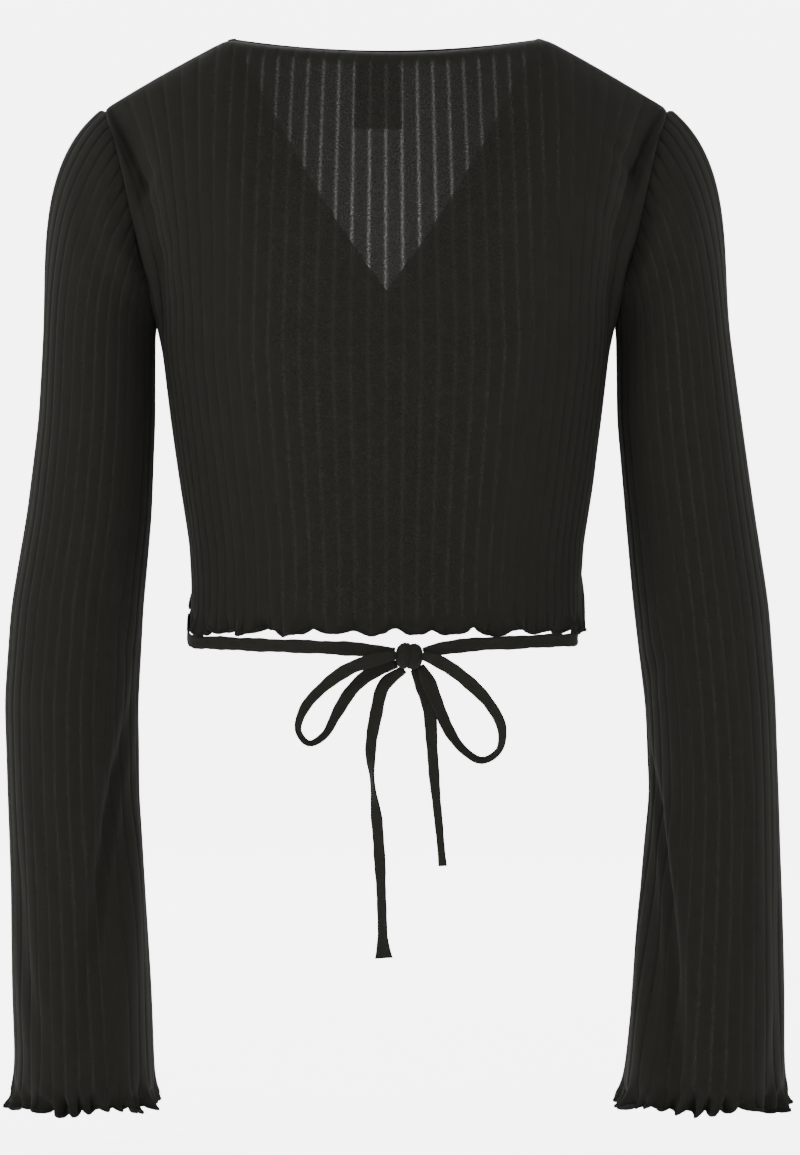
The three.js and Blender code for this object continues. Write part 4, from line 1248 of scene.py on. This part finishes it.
class CROPTOP_OT_back(bpy.types.Operator):
    """Make the back panel with its neck binding, hem edge and label"""
    bl_idname = "croptop.back"
    bl_label = "Back"

    def execute(self, context):
        shares = back_columns()
        cloth, points = body_panel(
            "back_cloth", BACK, shares, np.full(shares.shape, 2.0), no_lift, BACK_CREASES,
            0.85, True)
        wear(finish(cloth, "rib_knit", "back"), "black rib jersey")
        hem = wear(finish(edge_cord("back_hem_edge", points[:, 0], False), "rib_knit"),
                   "black overlock yarn")
        neck = np.linspace(NECK_SHARE, -NECK_SHARE, 161)
        strip = neck_strip("back_neck_strip", BACK, neck, np.full(161, 2.0), no_step)
        wear(finish(strip, "binding_knit", "binding_back"), "black binding knit")
        label = wear(finish(label_mesh(), "label_tape", "neck_label"), "black label tape")
        return {"FINISHED"}


class CROPTOP_OT_fronts(bpy.types.Operator):
    """Make the two wrap fronts with their bindings and hem edges"""
    bl_idname = "croptop.fronts"
    bl_label = "Wrap fronts"

    def execute(self, context):
        for side, lift in ((LEFT, no_lift), (RIGHT, right_lift)):
            word = SIDE_NAME[side]
            shares, tops = front_columns(side)
            cloth, points = body_panel(
                f"front_{word}_cloth", FRONT, shares, tops, lift, FRONT_CREASES, 0.7, True)
            wear(finish(cloth, "rib_knit", f"front_{word}"), "black rib jersey")
            hem = wear(finish(edge_cord(f"front_{word}_hem_edge", points[:, 0], False),
                              "rib_knit"), "black overlock yarn")
            inside = np.abs(shares - side * NECK_SHARE) < 0.004
            edge = (shares * side <= NECK_SHARE + 0.001) | inside
            strip = neck_strip(f"front_{word}_neck_strip", FRONT, shares[edge], tops[edge], lift)
            wear(finish(strip, "binding_knit", f"binding_{word}"), "black binding knit")
        return {"FINISHED"}


class CROPTOP_OT_sleeves(bpy.types.Operator):
    """Make the two long flared sleeves with their wavy cuffs"""
    bl_idname = "croptop.sleeves"
    bl_label = "Sleeves"

    def execute(self, context):
        for side in (LEFT, RIGHT):
            word = SIDE_NAME[side]
            cloth, points = sleeve_cloth(f"sleeve_{word}_cloth", side)
            wear(finish(cloth, "rib_knit", f"sleeve_{word}"), "black rib jersey")
            cuff = wear(finish(edge_cord(f"sleeve_{word}_cuff_edge", points[:-1, 0], True),
                               "rib_knit"), "black overlock yarn")
        return {"FINISHED"}


class CROPTOP_PT_panel(bpy.types.Panel):
    """Lists the crop top's pieces"""
    bl_label = "Crop Top"
    bl_idname = "CROPTOP_PT_panel"
    bl_space_type = "VIEW_3D"
    bl_region_type = "UI"
    bl_category = "Crop Top"

    def draw(self, context):
        for name in OPERATOR_ORDER:
            self.layout.operator(name)
        for group in (context.scene.crop_top_sizes, context.scene.crop_top_colours):
            box = self.layout.box()
            for key in group.bl_rna.properties.keys():
                if key not in {"rna_type", "name"}:
                    box.prop(group, key)


CLASSES = (
    CropTopSizes, CropTopColours, CROPTOP_OT_stage, CROPTOP_OT_bow, CROPTOP_OT_back,
    CROPTOP_OT_fronts, CROPTOP_OT_sleeves, CROPTOP_PT_panel,
)
OPERATOR_ORDER = (
    "croptop.stage", "croptop.bow", "croptop.back", "croptop.fronts", "croptop.sleeves",
)


def register():
    for made in CLASSES:
        bpy.utils.register_class(made)
    bpy.types.Scene.crop_top_sizes = PointerProperty(type=CropTopSizes)
    bpy.types.Scene.crop_top_colours = PointerProperty(type=CropTopColours)


def unregister():
    del bpy.types.Scene.crop_top_colours
    del bpy.types.Scene.crop_top_sizes
    for made in reversed(CLASSES):
        bpy.utils.unregister_class(made)


def main():
    register()
    for name in OPERATOR_ORDER:
        family, operator = name.split(".")
        getattr(getattr(bpy.ops, family), operator)()
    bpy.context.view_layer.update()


if __name__ == "__main__":
    main()
